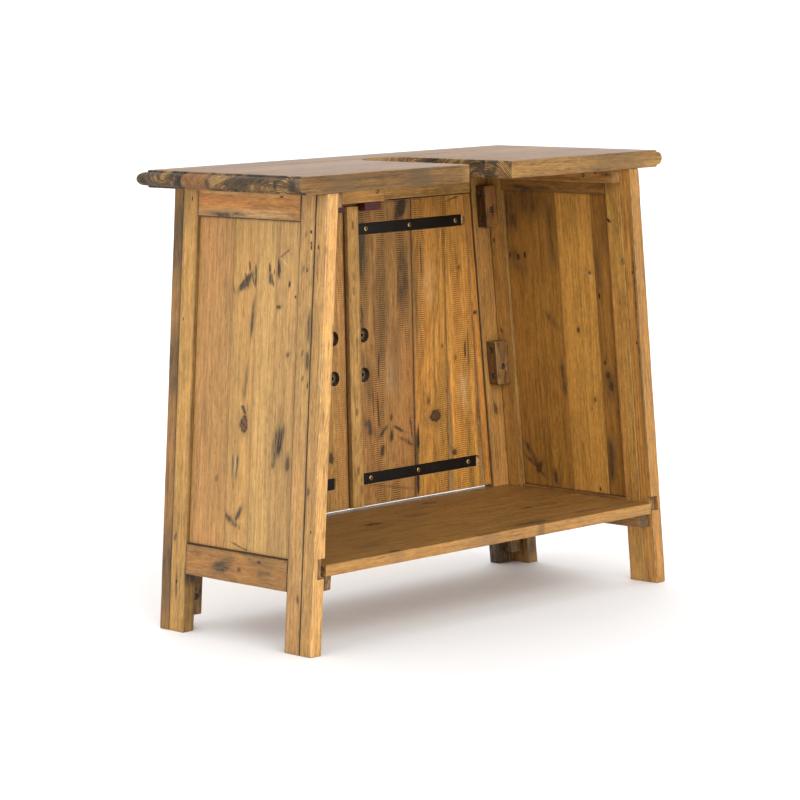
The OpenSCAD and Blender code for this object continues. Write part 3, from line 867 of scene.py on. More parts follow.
def top_material():
    """The top is glued up from planks: each gets its own tone and its own place in the tree."""
    style = look(light=(144, 104, 56), dark=(96, 65, 33), red=(126, 82, 44), redness=0.35, grey=0.5,
                 ring=2.4, contrast=0.7)
    made, net, shader = blank_material("pine_top")
    here = net.node("TexCoord").outputs["Object"]
    x, y, _ = net.split(here)
    m, add, sub, mul = net.math, net.add, net.sub, net.mul
    number = 0.0
    for joint in TOP_PLANKS[1:-1]:
        number = add(number, m("GREATER_THAN", y, joint * MM))
    tones = net.node("TexWhiteNoise", noise_dimensions="1D")
    net.put(tones.inputs["W"], add(number, 3.7))
    tone_a, tone_b, tone_c = net.split(tones.outputs["Color"])
    centre_z = (HEIGHT - TOP_T / 2) * MM
    lx, ly, lz = net.split(net.vec("SUBTRACT", here, (0.0, 0.0, centre_z)))
    plank_v = sub(ly, add(-0.137, mul(number, 0.046)))  # the planks are about 46 mm wide
    coords = net.xyz(add(lx, mul(number, 1.7)), plank_v, lz)
    # the edges are yellower than the faces, and darker along the right half of the back
    edge = net.ease(sub(TOP_T / 2 * MM, m("ABSOLUTE", lz)), 0.0002, 0.0012)
    right_half = mul(net.ease(x, 0.035, 0.06), net.ease(y, 0.09, 0.12))
    cloudy = net.ease(net.noise(here, (9, 9, 40), 3.0, 0.6), 0.38, 0.62)
    right_half = mul(right_half, add(0.65, mul(cloudy, 0.35)))
    orange = m("COMPARE", number, 2.0)
    orange.node.inputs[2].default_value = 0.1
    orange = mul(orange, m("GREATER_THAN", x, 0.3))
    side_light = net.mix(right_half, srgb(158, 118, 60), srgb(114, 82, 40))
    side_light = net.mix(orange, side_light, srgb(170, 112, 60))
    stain_here = 0.0
    for u, v, reach, width, amount in ((0.133, 0.160, 0.034, 0.02, 0.45), (0.275, 0.161, 0.05, 0.02, 0.35),
                                       (-0.25, 0.160, 0.1, 0.015, 0.3)):
        stain_here = net.use(STREAK, Local=here, U=u, V=v, Reach=reach, Width=width, Slope=0.0,
                             Amount=amount, Sum=stain_here)[0]
    stain_here = mul(stain_here, edge)
    side_dark = net.mix(right_half, srgb(126, 88, 44), srgb(78, 54, 28))
    colour, rough, normal = net.use(
        PINE, Local=coords, Half=(90.0, 0.09, TOP_T / 2 * MM), Ring=style["ring"] * MM,
        Pith_V=mul(sub(tone_b, 0.5), 0.09), Pith_W=mul(sub(tone_c, 0.75), 0.1),
        **{**plain_values(style), "Seed": add(number, style["seed"]), "Worn": 0.0, "Grime": 0.0},
        End=net.node("Attribute", attribute_name="end").outputs["Fac"],
        End_Dark=sub(0.95, mul(orange, 0.5)), Low_Tone=1.0, High_Tone=1.0, Stain=stain_here,
        Light=net.mix(edge, srgb(*style["light"]), side_light),
        Dark=net.mix(edge, srgb(*style["dark"]), side_dark), Red=srgb(*style["red"]),
    )
    net.surface(shader, net.vec("SCALE", colour, add(0.84, mul(tone_a, 0.26))), add(rough, 0.02), normal)
    shader.inputs["Specular IOR Level"].default_value = 0.35
    return made


make_top()

# ---- marks, mm: knots, stains (some of them painted shade), cracks and pale smears ----
def stain(u, v, u2, v2, width, amount=0.8):
    """A dark stroke from one point of a face to another; pale and crack are alike."""
    return "stain", (u, v), (u2, v2), width, amount


def pale(u, v, u2, v2, width, amount=0.7):
    return "pale", (u, v), (u2, v2), width, amount


def crack(u, v, u2, v2, width=0.7, amount=1.0):
    return "crack", (u, v), (u2, v2), width, amount


def knot(u, v, size, stretch=1.3, tilt=0.0, core=0.9, rim=0.8):
    """A branch of this radius, stretched along the grain; core and rim are strengths."""
    return "knot", (u, v), size, stretch, tilt, core, rim


def placed(at, marks):
    """The marks with their (u, v) pairs turned into points by at(u, v)."""
    return [(kind, *(at(*x) if isinstance(x, tuple) else x for x in rest)) for kind, *rest in marks]


def on_side(side):
    """Points (y, z) on a side's outside face."""
    return lambda y, z: (lean_x(side, 0, z), y, z)


def on_door(x, z):
    return x, DOOR_BACK, z


dice = random.Random(41)


def strewn(corners, knots=1, nails=2, size=(1.6, 4.0)):
    """A few small knots, nail marks and short stains scattered over a board."""
    def at(a, b):
        return sum((Vector(corners[i][j][0]) * ((a if i else 1 - a) * (b if j else 1 - b))
                    for i in (0, 1) for j in (0, 1)), Vector())

    made = []
    for _ in range(knots):
        a, b = dice.uniform(0.04, 0.96), dice.uniform(0.12, 0.88)
        made.append(knot(a, b, dice.uniform(*size), dice.uniform(1.3, 3.0), dice.uniform(-0.5, 0.5),
                         dice.uniform(0.35, 0.8), dice.uniform(0.1, 0.6)))
    for _ in range(nails):
        a, b = dice.uniform(0.03, 0.97), dice.uniform(0.2, 0.8)
        made.append(crack(a, b, min(1, a + dice.uniform(0.004, 0.012)), b, dice.uniform(0.7, 1.2)))
        if dice.random() < 0.5:
            made.append(stain(max(0, a - 0.05), b, min(1, a + 0.05), b, dice.uniform(1.5, 3.0), 0.6))
    return placed(at, made)


# ---- front frame ----
for side, word in SIDES.items():
    width = STILE_W[side]
    shape = upright_board(lambda edge, z: lean_x(side, width * edge, z), (0, UNDER_TOP),
                          (FRONT, FRAME_BACK))
    # painted shade and dirt: the foot of each front stile, below the shelf, is darkened
    foot_shade_and_dirt = placed(lambda inset, z: (lean_x(side, inset, z), FRAME_BACK, z), [
        stain(width * 0.7, 72, width * 0.7, -20, width * 0.5, pick(side, 1.0, 0.35))])
    dark_edge = placed(on_side(side), [
        stain(FRONT + 6, 600, FRONT + 6, 470, 9, 0.5), stain(FRONT + 14, 420, FRONT + 12, 300, 6, 0.5),
        stain(FRONT + 8, 150, FRONT + 8, 10, 9, 0.5)])
    # tones: the outer face is darker, and the edge by the door is darkened as painted shade in the gap
    board(f"front_stile_{word}", shape,
          look(light=(198, 146, 78), dark=(142, 98, 48), grey=0.6, pith=(-30, 40), tones=(0.62, 0.5),
               joints=(0, 0, 0, 0.6)),
          radius=1.8, marks=strewn(shape, 2, 4, (2, 4.5)) + foot_shade_and_dirt + dark_edge)


def rail_ends(end, z):
    """Where the front rails meet the front stiles."""
    return lean_x(1, STILE_W[1], z) if end else lean_x(-1, STILE_W[-1], z)


shape = cross_board(rail_ends, (FRONT_RAIL_LOW, UNDER_TOP), (FRONT, FRAME_BACK))
board("front_top_rail", shape, look(pith=(50, 10), grey=0.5, joints=(0, 0.6, 1, 0)),
      radius=1.2, marks=strewn(shape, 2, 5, (2, 5)))
shape = cross_board(rail_ends, (RAIL_LOW, SHELF_TOP - 0.5), (FRONT, FRAME_BACK))
board("front_bottom_rail", shape, look(pith=(-60, 20), redness=0.5, grey=0.5, joints=(0, 0, 1, 0)),
      radius=1.6, marks=strewn(shape, 2, 3, (2, 5)))

# ---- side frames ----
PANEL_JOINTS = {-1: (8.4, 78), 1: (-20, 26, 66)}
PANEL_TONES = {  # light, dark, red, redness, grey of each plank, front to back
    -1: [((184, 134, 60), (140, 97, 40), (156, 104, 50), 0.2, 0.5),
         ((222, 166, 80), (184, 130, 58), (200, 138, 68), 0.2, 0.15),
         ((174, 124, 56), (130, 88, 38), (152, 100, 48), 0.3, 0.6)],
    1: [((188, 140, 80), (158, 108, 56), (182, 126, 70), 0.55, 0.14),
        ((194, 149, 84), (158, 114, 59), (188, 132, 76), 0.2, 0.1),
        ((200, 157, 92), (166, 122, 66), (190, 140, 82), 0.2, 0.12),
        ((195, 151, 90), (160, 115, 61), (188, 138, 82), 0.3, 0.2)],
}
# by side and plank, as (y, z) on the outside face
PANEL_MARKS = {
    (1, 1): [
        knot(-40, 215, 2.6, 1.8, 0.2, 0.4, 0.3), stain(-70, 330, -66, 250, 3, 0.3),
    ],
    (1, 2): [
        stain(-10, 464, 22, 496, 5.5, 1.0), stain(4, 470, 12, 488, 6, 0.9),
        crack(16, 492, 22, 474, 0.9, 0.7), crack(10, 508, 13, 492, 1.5, 0.7),
        crack(-22, 482, -17, 462, 1.0, 0.7), crack(-8, 472, 4, 484, 1.2, 0.8),
        crack(2, 494, 8, 478, 0.9, 0.7), crack(4, 296, 16, 286, 1.0, 0.8),
        stain(23, 506, 24, 470, 1.8, 0.9), stain(23, 470, 17, 390, 2.6, 0.7),
        stain(15, 380, 7, 312, 3.5, 0.45), knot(11, 291.5, 7.2, 1.4, 0.0, 0.75, 1.0),
        stain(7, 316, 13, 304, 3.0, 1.0), stain(-17, 168, 3, 154, 8.0, 0.7),
        stain(-2, 158, 16, 186, 4.4, 0.7), stain(-8, 254, -8, 216, 2.0, 0.8),
        stain(2, 256, -2, 210, 2.4, 0.75), pale(-4, 250, -5, 222, 3.0, 0.4),
        stain(4, 130, 20, 126, 4, 0.8),
    ],
    (1, 3): [
        stain(53, 494, 54, 478, 3.4, 1.0), crack(50, 508, 52, 492, 1.5, 0.8),
        crack(57, 488, 60, 474, 0.8, 0.8), knot(58, 300, 2.0, 1.5, 0.0, 0.2, 0.2),
        crack(60, 498, 61, 492, 0.8, 0.8),
    ],
    (1, 4): [
        stain(69, 516, 67, 484, 3.0, 0.95), stain(70, 514, 90, 527, 2.4, 0.7),
        crack(69, 508, 72, 494, 0.8, 0.8), crack(91, 485, 91, 476, 1.4),
        knot(70, 450, 5.0, 0.42, 0.0, 0.9, 0.8), crack(66, 512, 69, 488, 1.4, 0.7),
        pale(76, 512, 84, 505, 3.0, 0.5), knot(92, 389, 2.4, 1.2, 0.0, 0.5, 0.8),
        stain(84, 296, 76, 250, 8.0, 1.0), stain(74, 262, 70, 236, 3.0, 0.8),
        crack(88, 290, 80, 250, 1.0, 0.8), crack(76, 290, 74, 262, 0.8, 0.7),
        crack(82, 284, 77, 256, 0.8, 0.6), knot(99, 246, 4.0, 2.3, 0.0, 0.7, 0.6),
        stain(98, 262, 100, 232, 4.0, 0.6), crack(103, 467, 103, 463, 1.0),
    ],
    (-1, 1): [
        crack(-89, 471, -89, 462, 1.2), crack(-73, 469, -72, 460, 1.7), crack(-59, 472, -59, 464, 1.6),
        stain(-84, 480, -70, 440, 12, 0.45), stain(-88, 562, -84, 500, 15, 0.65),
        # the wide stain along the top of this plank is painted shade under the top
        stain(-50, 570, -50, 548, 40, 0.5), stain(-4, 562, -2, 440, 6, 0.6),
        stain(-22, 386, -6, 362, 6, 0.55), stain(1, 330, 2, 250, 4, 0.6),
        stain(-88, 192, -58, 142, 5, 0.8), stain(-88, 168, -44, 132, 5, 0.7),
        knot(-60, 150, 6, 1.6, 0.5, 0.8, 0.4), stain(-30, 150, -26, 124, 5, 0.6),
    ],
    (-1, 2): [
        pale(61, 448, 72, 442, 4, 0.5), knot(68, 448, 2.2, 1.0, 0, 0.7, 0.5),
        knot(38, 363, 2.4, 1.5, 0, 0.9, 0.6), crack(60, 132, 60, 125, 1.2),
        knot(62, 262, 3, 1.2, 0, 0.5, 0.3),
    ],
    (-1, 3): [
        stain(100, 562, 98, 470, 6, 0.4), stain(84, 500, 86, 400, 5, 0.5),
        crack(84, 420, 84, 410, 1.4), knot(91, 300, 4, 1.2, 0, 0.8, 0.7),
        knot(96, 284, 4, 1.6, 0, 0.9, 0.6), knot(86, 318, 2.5, 1.2, 0, 0.8, 0.6),
        stain(92, 310, 94, 262, 9, 0.6), stain(86, 220, 84, 130, 8, 0.6),
    ],
}
SIDE_LOOKS = {  # light, dark and joint lines of each frame member
    -1: {"front_stile": ((196, 149, 78), (158, 110, 50), (0.5, 0.25, 0, 0)),
         "rear_stile": ((206, 156, 78), (168, 118, 54), (0.4, 0, 0, 0)),
         "strip": ((202, 145, 70), (158, 106, 46), (0, 0, 0, 0)),
         # the left top rail has darker colours than the right one: painted shade under the top, inside the
         # cabinet
         "top_rail": ((166, 120, 56), (126, 86, 40), (0.4, 0.8, 0.4, 0)),
         "bottom_rail": ((172, 126, 68), (124, 82, 38), (0, 0.5, 0.5, 0))},
    1: {"front_stile": ((196, 149, 78), (158, 110, 50), (0.7, 0.5, 0, 0)),
        "rear_stile": ((196, 152, 90), (160, 114, 60), (1, 1, 0, 0)),
        "strip": ((200, 152, 88), (162, 114, 60), (1, 0, 0, 0)),
        "top_rail": ((204, 146, 76), (160, 104, 50), (1, 0.8, 1, 0)),
        "bottom_rail": ((172, 126, 68), (124, 82, 38), (0, 1, 1, 0))},
}
REAR_STILE_MARKS = {
    -1: [crack(114, 528, 117, 524, 2.2), knot(138, 469, 4, 1.2, 0.0, 0.4, 0.4),
         stain(118, 600, 120, 560, 4, 0.4)],
    1: [stain(136, 452, 134, 404, 3.6, 0.65), stain(134, 398, 137, 370, 3.6, 0.9),
        crack(137, 356, 137, 348, 1.0), crack(128, 505, 128, 498, 1.0), crack(133, 553, 133, 549, 1.2)],
}
SMALL_KNOTS = [knot(y, z, size, 2.2, 0.3, 0.45, 0.3) for y, z, size in
               ((124, 548, 1.8), (121, 503, 2.0), (125, 394, 2.2), (127, 361, 1.9))]
STRIP_MARKS = {
    -1: [stain(BACK - 5, 612, BACK - 5, 122, 2.6, 0.6), pale(BACK - 2.6, 560, BACK - 2.6, 150, 0.7, 0.6)],
    1: [pale(BACK - 2.8, 604, BACK - 2.8, 540, 0.9, 0.9), pale(BACK - 2.8, 420, BACK - 2.8, 330, 0.7, 0.6)],
}


def member_look(side, part, **changes):
    """The look of one member of a side frame."""
    light, dark, joints = SIDE_LOOKS[side][part]
    return look(light=light, dark=dark, joints=joints, **changes)


for side, word in SIDES.items():
    outside = on_side(side)
    upright, thick = (0, UNDER_TOP), (0, BOARD_T)
    between_stiles = (SIDE_STILE_BACK, REAR_STILE_FRONT)
    shape = lean_board(side, upright, thick, (FRAME_BACK, SIDE_STILE_BACK))
    # on the left a wide dark patch at the foot is painted shade and dirt under the shelf; on the right a
    # narrow stain
    damp_and_shade = pick(side, stain(-105, 96, -105, 4, 24, 0.6), stain(-92, 96, -92, 60, 2.5, 0.7))
    board(f"side_front_stile_{word}", shape,
          member_look(side, "front_stile", pith=(45, -30), ring=2.4, redness=0.15, grey=0.3),
          radius=1.3, marks=strewn(shape, 1, 3, (1.6, 3)) + placed(outside, [damp_and_shade]))
    shape = lean_board(side, upright, thick, (REAR_STILE_FRONT, STRIP_FRONT))
    marks = placed(outside, REAR_STILE_MARKS[side])
    if side > 0:
        marks = placed(outside, SMALL_KNOTS) + strewn(shape, 1, 2, (1.6, 3)) + marks
    board(f"side_rear_stile_{word}", shape,
          member_look(side, "rear_stile", red=(176, 108, 62), pith=(-50, -24), ring=2.4, redness=0.25,
                      saw=0.22),
          radius=1.3, marks=marks)
    shape = lean_board(side, upright, thick, (STRIP_FRONT, BACK))
    notch = lean_board(side, (NOTCH_LOW[side], NOTCH_HIGH), (BOARD_T - NOTCH_IN, BOARD_T + 3),
                       (BACK - NOTCH_Y, BACK + 2))
    # tones: the right strip's back face is painted lighter, painted light on the face turned to the key
    # lamp; the left strip's back face is darker
    board(f"rear_strip_{word}", shape,
          member_look(side, "strip", pith=(40, 12), ring=2.2, redness=0.2, grey=0.15, worn=0.9, grime=0.7,
                      tones=(1, pick(side, 0.82, 1.3))),
          radius=1.9, marks=strewn(shape, 1, 2, (1.4, 2.4)) + placed(outside, STRIP_MARKS[side]),
          cuts=[(*block_shape(notch), NOTCH_WOOD)])
    shape = side_rail_corners(side, (TOP_RAIL_LOW, UNDER_TOP), thick, between_stiles)
    board(f"side_top_rail_{word}", shape,
          member_look(side, "top_rail", red=(194, 116, 50), redness=pick(side, 0.1, 0.45), pith=(20, -40),
                      grey=0.45),
          radius=1.2, marks=placed(outside, [
              pale(-110, 568, 120, 569, 6.0, pick(side, 0.15, 0.5)),
              pale(-110, 600, 120, 600, 7.0, pick(side, 0.0, 0.4)),
              stain(-100, 569, 30, 568, 3.5, 0.6), stain(-60, 566, -20, 566, 3, 0.9),
              stain(-100, 603, 120, 603, 2.5, 0.5), crack(70, 594, 78, 594, 0.8)]))
    shape = side_rail_corners(side, (RAIL_LOW, RAIL_HIGH), thick, between_stiles)
    board(f"side_bottom_rail_{word}", shape,
          member_look(side, "bottom_rail", red=(168, 106, 46), redness=0.45, pith=(14, -50), grey=0.8,
                      ring=2.8),
          radius=1.8, marks=placed(outside, [
              stain(-44, 96, 4, 104, 8, 0.75), stain(-32, 93, -8, 95, 4, 0.9),
              stain(30, 112, 90, 110, 6, 0.4), knot(17, 99, 3.0, 1.1, 0, 0.7, 0.4),
              stain(50, 98, 84, 100, 3.4, 0.55), knot(56, 113, 2.0, 2.0, 0, 0.9, 1.0)]))
    lines = [SIDE_STILE_BACK, *PANEL_JOINTS[side], REAR_STILE_FRONT]
    frame_line = pick(side, 0.25, 0.6)
    for number, (front, back) in enumerate(zip(lines, lines[1:]), 1):
        light, dark, red, redness, grey = PANEL_TONES[side][number - 1]
        shape = lean_board(side, (RAIL_HIGH - 0.6, TOP_RAIL_LOW + 0.6), (PANEL_IN, PANEL_IN + PANEL_T),
                           (front, back))
        seams = [frame_line if number == at else 0.07 for at in (1, len(lines) - 1)]
        board(f"side_panel_{word}_plank_{number}", shape,
              look(light=light, dark=dark, red=red, redness=redness, grey=grey, worn=0.0, grime=0.5,
                   joints=(*seams, 0.7, 0), pith=((number % 2) * 44 - 18, -62), ring=2.1 + 0.25 * number,
                   contrast=pick(side, 0.45, 0.3)),
              node=f"side_panel_{word}", radius=0.4,
              marks=placed(outside, PANEL_MARKS[side, number]))

# ---- shelf, bearers and cleats ----
shelf_half = lean_x(1, BOARD_T, SHELF_TOP) - 1.5
SHELF_JOINTS = [FRAME_BACK + 0.3, -62, 4, 71, 128, BACK]
# by plank, as (x, y) on the upper face
SHELF_MARKS = {
    1: [
        knot(-120, -90, 6, 2.2),
    ],
    2: [
        knot(60, -20, 7, 2.0), stain(-60, -30, -10, -28, 8, 0.6),
    ],
    3: [
        knot(210, 30, 6, 1.8), knot(-180, 50, 4, 1.8),
    ],
    4: [
        stain(150, 100, 220, 102, 10, 0.5),
    ],
    5: [
        knot(-90, 160, 5, 1.3, 0, 0.4, 0.3), stain(-130, 144, -40, 142, 9, 0.7),
        stain(-150, 120, -90, 122, 5, 0.8), stain(-240, 128, -190, 130, 8, 0.6),
        stain(-10, 158, 40, 158, 5, 0.5), knot(190, 156, 5, 1.6),
    ],
}
for number, (front, back) in enumerate(zip(SHELF_JOINTS, SHELF_JOINTS[1:]), 1):
    last = number == len(SHELF_JOINTS) - 1
    shape = flat_board((-shelf_half, shelf_half), (front, back), (SHELF_TOP - SHELF_T, SHELF_TOP))
    board(f"shelf_plank_{number}", shape,
          look(light=(154, 114, 58), dark=(116, 82, 40), red=(134, 90, 46), redness=0.4, grey=0.4,
               pith=(10 - 9 * number, -58), worn=0.0, grime=0.0, contrast=0.5,
               tones=(1, 1.88 if last else 1), joints=(0.25, 0.25, 0, 0)),
          node="shelf_board", radius=1.3 if last else 0.3,
          marks=placed(lambda x, y: (x, y, SHELF_TOP), SHELF_MARKS[number]))
for side, word in SIDES.items():
    low = SHELF_TOP - SHELF_T - CLEAT_H
    shape = side_rail_corners(side, (low, low + CLEAT_H), (BOARD_T, BOARD_T + BEARER_T),
                              (FRAME_BACK + 0.3, BACK - NOTCH_Y))
    board(f"shelf_bearer_{word}", shape,
          look(light=(168, 122, 70), dark=(116, 78, 40), grey=0.6, joints=(0, 1, 0, 0)),
          marks=strewn(shape, 2, 2))
    shape = side_rail_corners(side, (UNDER_TOP - CLEAT_H, UNDER_TOP), (BOARD_T, BOARD_T + CLEAT_T),
                              (FRAME_BACK + 0.3, BACK - pick(side, 18, 10.5)))
    board(f"top_cleat_{word}", shape,
          look(light=(196, 146, 80), dark=(146, 100, 50), grey=0.3, worn=1.0, end_dark=0.5,
               joints=(0, 1, 0, 0)),
          marks=strewn(shape, 1, 2))


# ---- screws, nails and other small metal ----
def screw_shape(radius, shank=5.0):
    """A raised countersunk head with a cross recess, its rim at height 0, in mm."""
    head = [(0, -shank), (radius * 0.42, -shank), (radius * 0.45, -radius * 0.62), (radius * 0.96, -0.12),
            (radius, 0.0), (radius * 0.93, 0.16), (radius * 0.7, 0.42), (radius * 0.38, 0.6), (0, 0.66)]
    made = to_object("screw_blank", *lathe(head, 26))
    arm, slim, deep = radius * 0.62, radius * 0.16, 1.5
    cuts = []
    for a, b in ((arm, slim), (slim, arm)):
        cuts.append((*prism([(-a, -b), (a, -b), (a, b), (-a, b)], 0.66 - deep, 2.0), None))
    carve(made, cuts)
    shape = [v.co.copy() for v in made.data.vertices], [list(p.vertices) for p in made.data.polygons]
    bpy.data.objects.remove(made)
    return shape


SCREW_HEAD = {r: screw_shape(r) for r in (3.2, 3.5, 3.8)}
NAIL_HEAD = lathe([(0, -2.3), (0.7, -2.3), (0.8, -0.6), (1.1, -0.4), (1.15, -0.2), (0.9, -0.04), (0, 0)],
                  16)
COUNTERSINK = lathe([(0, -4.2), (2.6, -4.2), (4.9, 0.0), (5.0, 0.6), (0, 0.6)], 28)


def screws_at(places, radius=3.5, sink=0.0):
    """Screws at (point, outward) pairs in mm, each turned its own way."""
    made = []
    for point, out in places:
        turn = dice.uniform(0, math.pi)
        at = Vector(point) - Vector(out).normalized() * sink
        made.append(moved(SCREW_HEAD[radius], aimed(at, out, turn)))
    return made


def block_screw_places(side, low, tall, wide):
    """Two screws into the side and one towards the front, as (point, outward)."""
    places = [((lean_x(side, BOARD_T + wide, low + k * tall), FRAME_BACK + BLOCK_D / 2, low + k * tall),
               (-side, 0, 0)) for k in (0.2, 0.8)]
    z = low + 0.42 * tall
    places.append(((lean_x(side, BOARD_T + wide / 2, z), FRAME_BACK + BLOCK_D, z), (0, 1, 0)))
    return places


BLOCK_TONES = [((140, 104, 60), (96, 66, 36), 0.2, 0.8), ((160, 120, 70), (108, 74, 42), 0.2, 0.95),
               ((164, 114, 60), (106, 68, 36), 0.35, 0.6)]
for side, word in SIDES.items():
    places = []
    for number, (low, tall, wide) in enumerate(BLOCKS, 1):
        light, dark, redness, grey = BLOCK_TONES[number - 1]
        shape = upright_board(lambda edge, z: lean_x(side, BOARD_T + wide * edge, z), (low, low + tall),
                              (FRAME_BACK, FRAME_BACK + BLOCK_D))
        mine = block_screw_places(side, low, tall, wide)
        places += mine
        # tones: the face towards the middle of the cabinet is darkened as painted shade, most on the top
        # block
        board(f"corner_block_{word}_{number}", shape,
              look(light=light, dark=dark, red=(156, 92, 46), redness=redness, grey=grey, ring=2.4,
                   worn=0.7, contrast=0.8, tones=(1, 0.36 if number == 3 else 0.6), joints=(0.8, 0, 0, 0)),
              node=f"corner_blocks_{word}", radius=2.6, marks=strewn(shape, 1, 1),
              cuts=[(*moved(COUNTERSINK, aimed(*place)), DARK_BORE) for place in mine])
    joined(f"corner_block_screws_{word}", screws_at(places, 3.2, 1.9), DULL_ZINC, "carcass")

cleat_places = []
for side in SIDES:
    for z, thick, ys in ((SHELF_TOP - SHELF_T - CLEAT_H / 2, BEARER_T, (-70, 30, 118)),
                         (UNDER_TOP - CLEAT_H / 2, CLEAT_T, (-60, 88))):
        cleat_places += [((lean_x(side, BOARD_T + thick, z), y, z), (-side, 0, 0)) for y in ys]
joined("cleat_screws", screws_at(cleat_places, 3.5, 0.1), DULL_ZINC, "carcass")

shape = flat_board((-57, 57), (FRAME_BACK, FRAME_BACK + 19), (FRONT_RAIL_LOW, UNDER_TOP))
board("catch_block", shape, look(light=(196, 146, 78), dark=(150, 104, 52), grey=0.4),
      radius=1.2, marks=strewn(shape, 1, 2))
joined("catch_block_screws", screws_at([((x, FRAME_BACK + 19, 575), (0, 1, 0)) for x in (-42, 42)], 3.8),
       DULL_ZINC, "carcass")


def plate_shape(x, y, z, radius):
    """A small plain block with rounded edges between two values on each axis."""
    return box_mesh(flat_board(x, y, z), radius, step=8, uneven=0.0)[:2]


for side, word in SIDES.items():
    x = CATCH_X[side]
    case = plate_shape((x - 15, x + 15), (CATCH_BACK - 17.5, CATCH_BACK),
                       (FRONT_RAIL_LOW - 12, FRONT_RAIL_LOW), 1.4)
    joined(f"catch_{word}", [case], PLASTIC, "carcass")
    plates = [plate_shape((x - 11, x + 11), (CATCH_BACK - 17.9, CATCH_BACK - 12), (z, z + 1.4), 0.3)
              for z in (FRONT_RAIL_LOW - 9.6, FRONT_RAIL_LOW - 4.6)]
    joined(f"catch_plates_{word}", plates, DULL_ZINC, "carcass", replaces=False)

frame_nails = []
for side in SIDES:
    for z in (585, 491, 393, 280, 203, 146, 48):
        frame_nails.append(((lean_x(side, dice.uniform(6, 13), z), BACK, z), (0, 1, 0)))
    for y, z in ((FRAME_BACK + 12, 590), (FRAME_BACK + 14, 70),
                 (REAR_STILE_FRONT + 12, 590), (REAR_STILE_FRONT + 14, 96)):
        frame_nails.append(((lean_x(side, 0, z), y, z), (side, 0, LEAN)))
frame_nails += [((x, BACK, z), (0, 1, 0)) for x, z in ((167, 607), (193, 608), (-230, 612), (-120, 606))]
joined("frame_nails", [moved(NAIL_HEAD, aimed(*place)) for place in frame_nails], NAIL_IRON, "carcass",
       replaces=False)

# ---- doors ----
DOOR_JOINTS = {-1: (-127.5, -196), 1: (84, 176)}
EDGE_STRIP = 14
DOOR_TONES = {
    -1: [((190, 140, 76), (128, 88, 44), (170, 110, 60), 0.5, 0.68, 1.0),
         ((210, 152, 72), (154, 102, 42), (192, 120, 54), 0.3, 0.4, 0.75),
         ((226, 164, 78), (172, 114, 46), (206, 130, 56), 0.4, 0.45, 0.75),
         ((214, 152, 70), (158, 104, 44), (192, 120, 54), 0.4, 0.4, 0.0)],
    1: [((196, 146, 78), (150, 104, 50), (180, 116, 60), 0.4, 0.3, 0.4),
        ((178, 132, 72), (130, 90, 46), (168, 106, 58), 0.5, 0.5, 0.9),
        ((200, 144, 70), (160, 106, 46), (188, 116, 52), 0.3, 0.3, 0.3),
        ((196, 140, 68), (150, 100, 44), (180, 110, 50), 0.3, 0.2, 0.0)],
}
# by door and plank, as (x, z) on the inner face
DOOR_MARKS = {
    (-1, 1): [
        knot(-108, 548, 9, 1.2, 0.3, 0.9, 0.8), stain(-100, 530, -112, 559, 10, 0.75),
        stain(-111, 512, -107, 384, 11, 0.6), stain(-26, 545, -28, 430, 9, 0.8),
        stain(-24, 420, -26, 360, 6, 0.7), stain(-70, 234, -54, 217, 4.2, 0.8),
        stain(-86, 232, -106, 221, 4.0, 0.8), knot(-80, 246, 2.2, 2.2, 0.0, 0.7, 0.8),
        knot(-80, 219, 3.0, 2.6, 0.0, 0.9, 0.6), stain(-64, 208, -60, 190, 3.4, 0.9),
        stain(-100, 214, -122, 200, 5, 0.7), stain(-30, 250, -42, 222, 7, 0.7),
        stain(-50, 150, -100, 140, 10, 0.4), stain(-62, 500, -60, 300, 13, 0.4),
        stain(-92, 400, -88, 270, 9, 0.45), stain(-36, 340, -38, 262, 8, 0.45),
        crack(-58, 345, -56, 300, 1.3, 0.7), crack(-54, 290, -55, 226, 1.5, 0.7),
        crack(-50, 420, -50, 360, 1.0, 0.5), crack(-44, 300, -46, 240, 1.0, 0.6),
        crack(-117, 250, -122, 206, 1.2, 0.6), crack(-100, 470, -98, 400, 0.9, 0.5),
        pale(-84, 340, -82, 280, 12, 0.22),
    ],
    (-1, 2): [
        knot(-170, 238, 10.5, 0.72, 0.0, 0.85, 1.0), knot(-156, 262, 2.8, 1.8, 0.0, 0.6, 0.6),
        stain(-130, 230, -131, 126, 4, 0.9), crack(-134.5, 234, -134, 190, 1.8),
        crack(-132.5, 172, -131.5, 118, 2.0), pale(-160, 470, -160, 400, 9, 0.3),
        stain(-133, 500, -135, 300, 4.0, 0.45), crack(-146, 500, -146, 440, 0.6),
        knot(-186, 340, 2.0, 1.5, 0.0, 0.4, 0.5),
    ],
    (-1, 3): [
        knot(-208, 180, 5.2, 0.8, 0.2, 0.9, 0.6), knot(-223, 452, 3.0, 1.0, 0.0, 0.8, 1.0),
        crack(-239, 372, -243, 280, 0.8, 0.6), crack(-234, 346, -234, 314, 1.2),
        crack(-213, 333, -246, 332, 1.0), pale(-228, 300, -229, 240, 8, 0.4),
        stain(-239, 360, -241, 300, 3, 0.3), stain(-206, 552, -218, 555, 3.0, 1.0),
        knot(-214, 320, 1.8, 2.0, 0.0, 0.5, 0.6),
    ],
    (-1, 4): [
        knot(-256, 383, 3.2, 0.7, 0.0, 0.9, 0.9), crack(-240, 332, -258, 331, 1.0),
    ],
    (1, 1): [
        knot(60, 460, 6, 1.3), stain(66, 440, 64, 330, 5, 0.6), knot(40, 200, 4, 1.8),
    ],
    (1, 2): [
        knot(130, 300, 9, 1.2, 0.2), stain(110, 540, 112, 420, 8, 0.7),
        stain(150, 240, 146, 140, 7, 0.6), knot(160, 470, 3.5, 1.6),
    ],
    (1, 3): [
        knot(204, 400, 5, 1.4), crack(196, 240, 198, 170, 0.8), knot(230, 210, 7, 1.1),
    ],
}


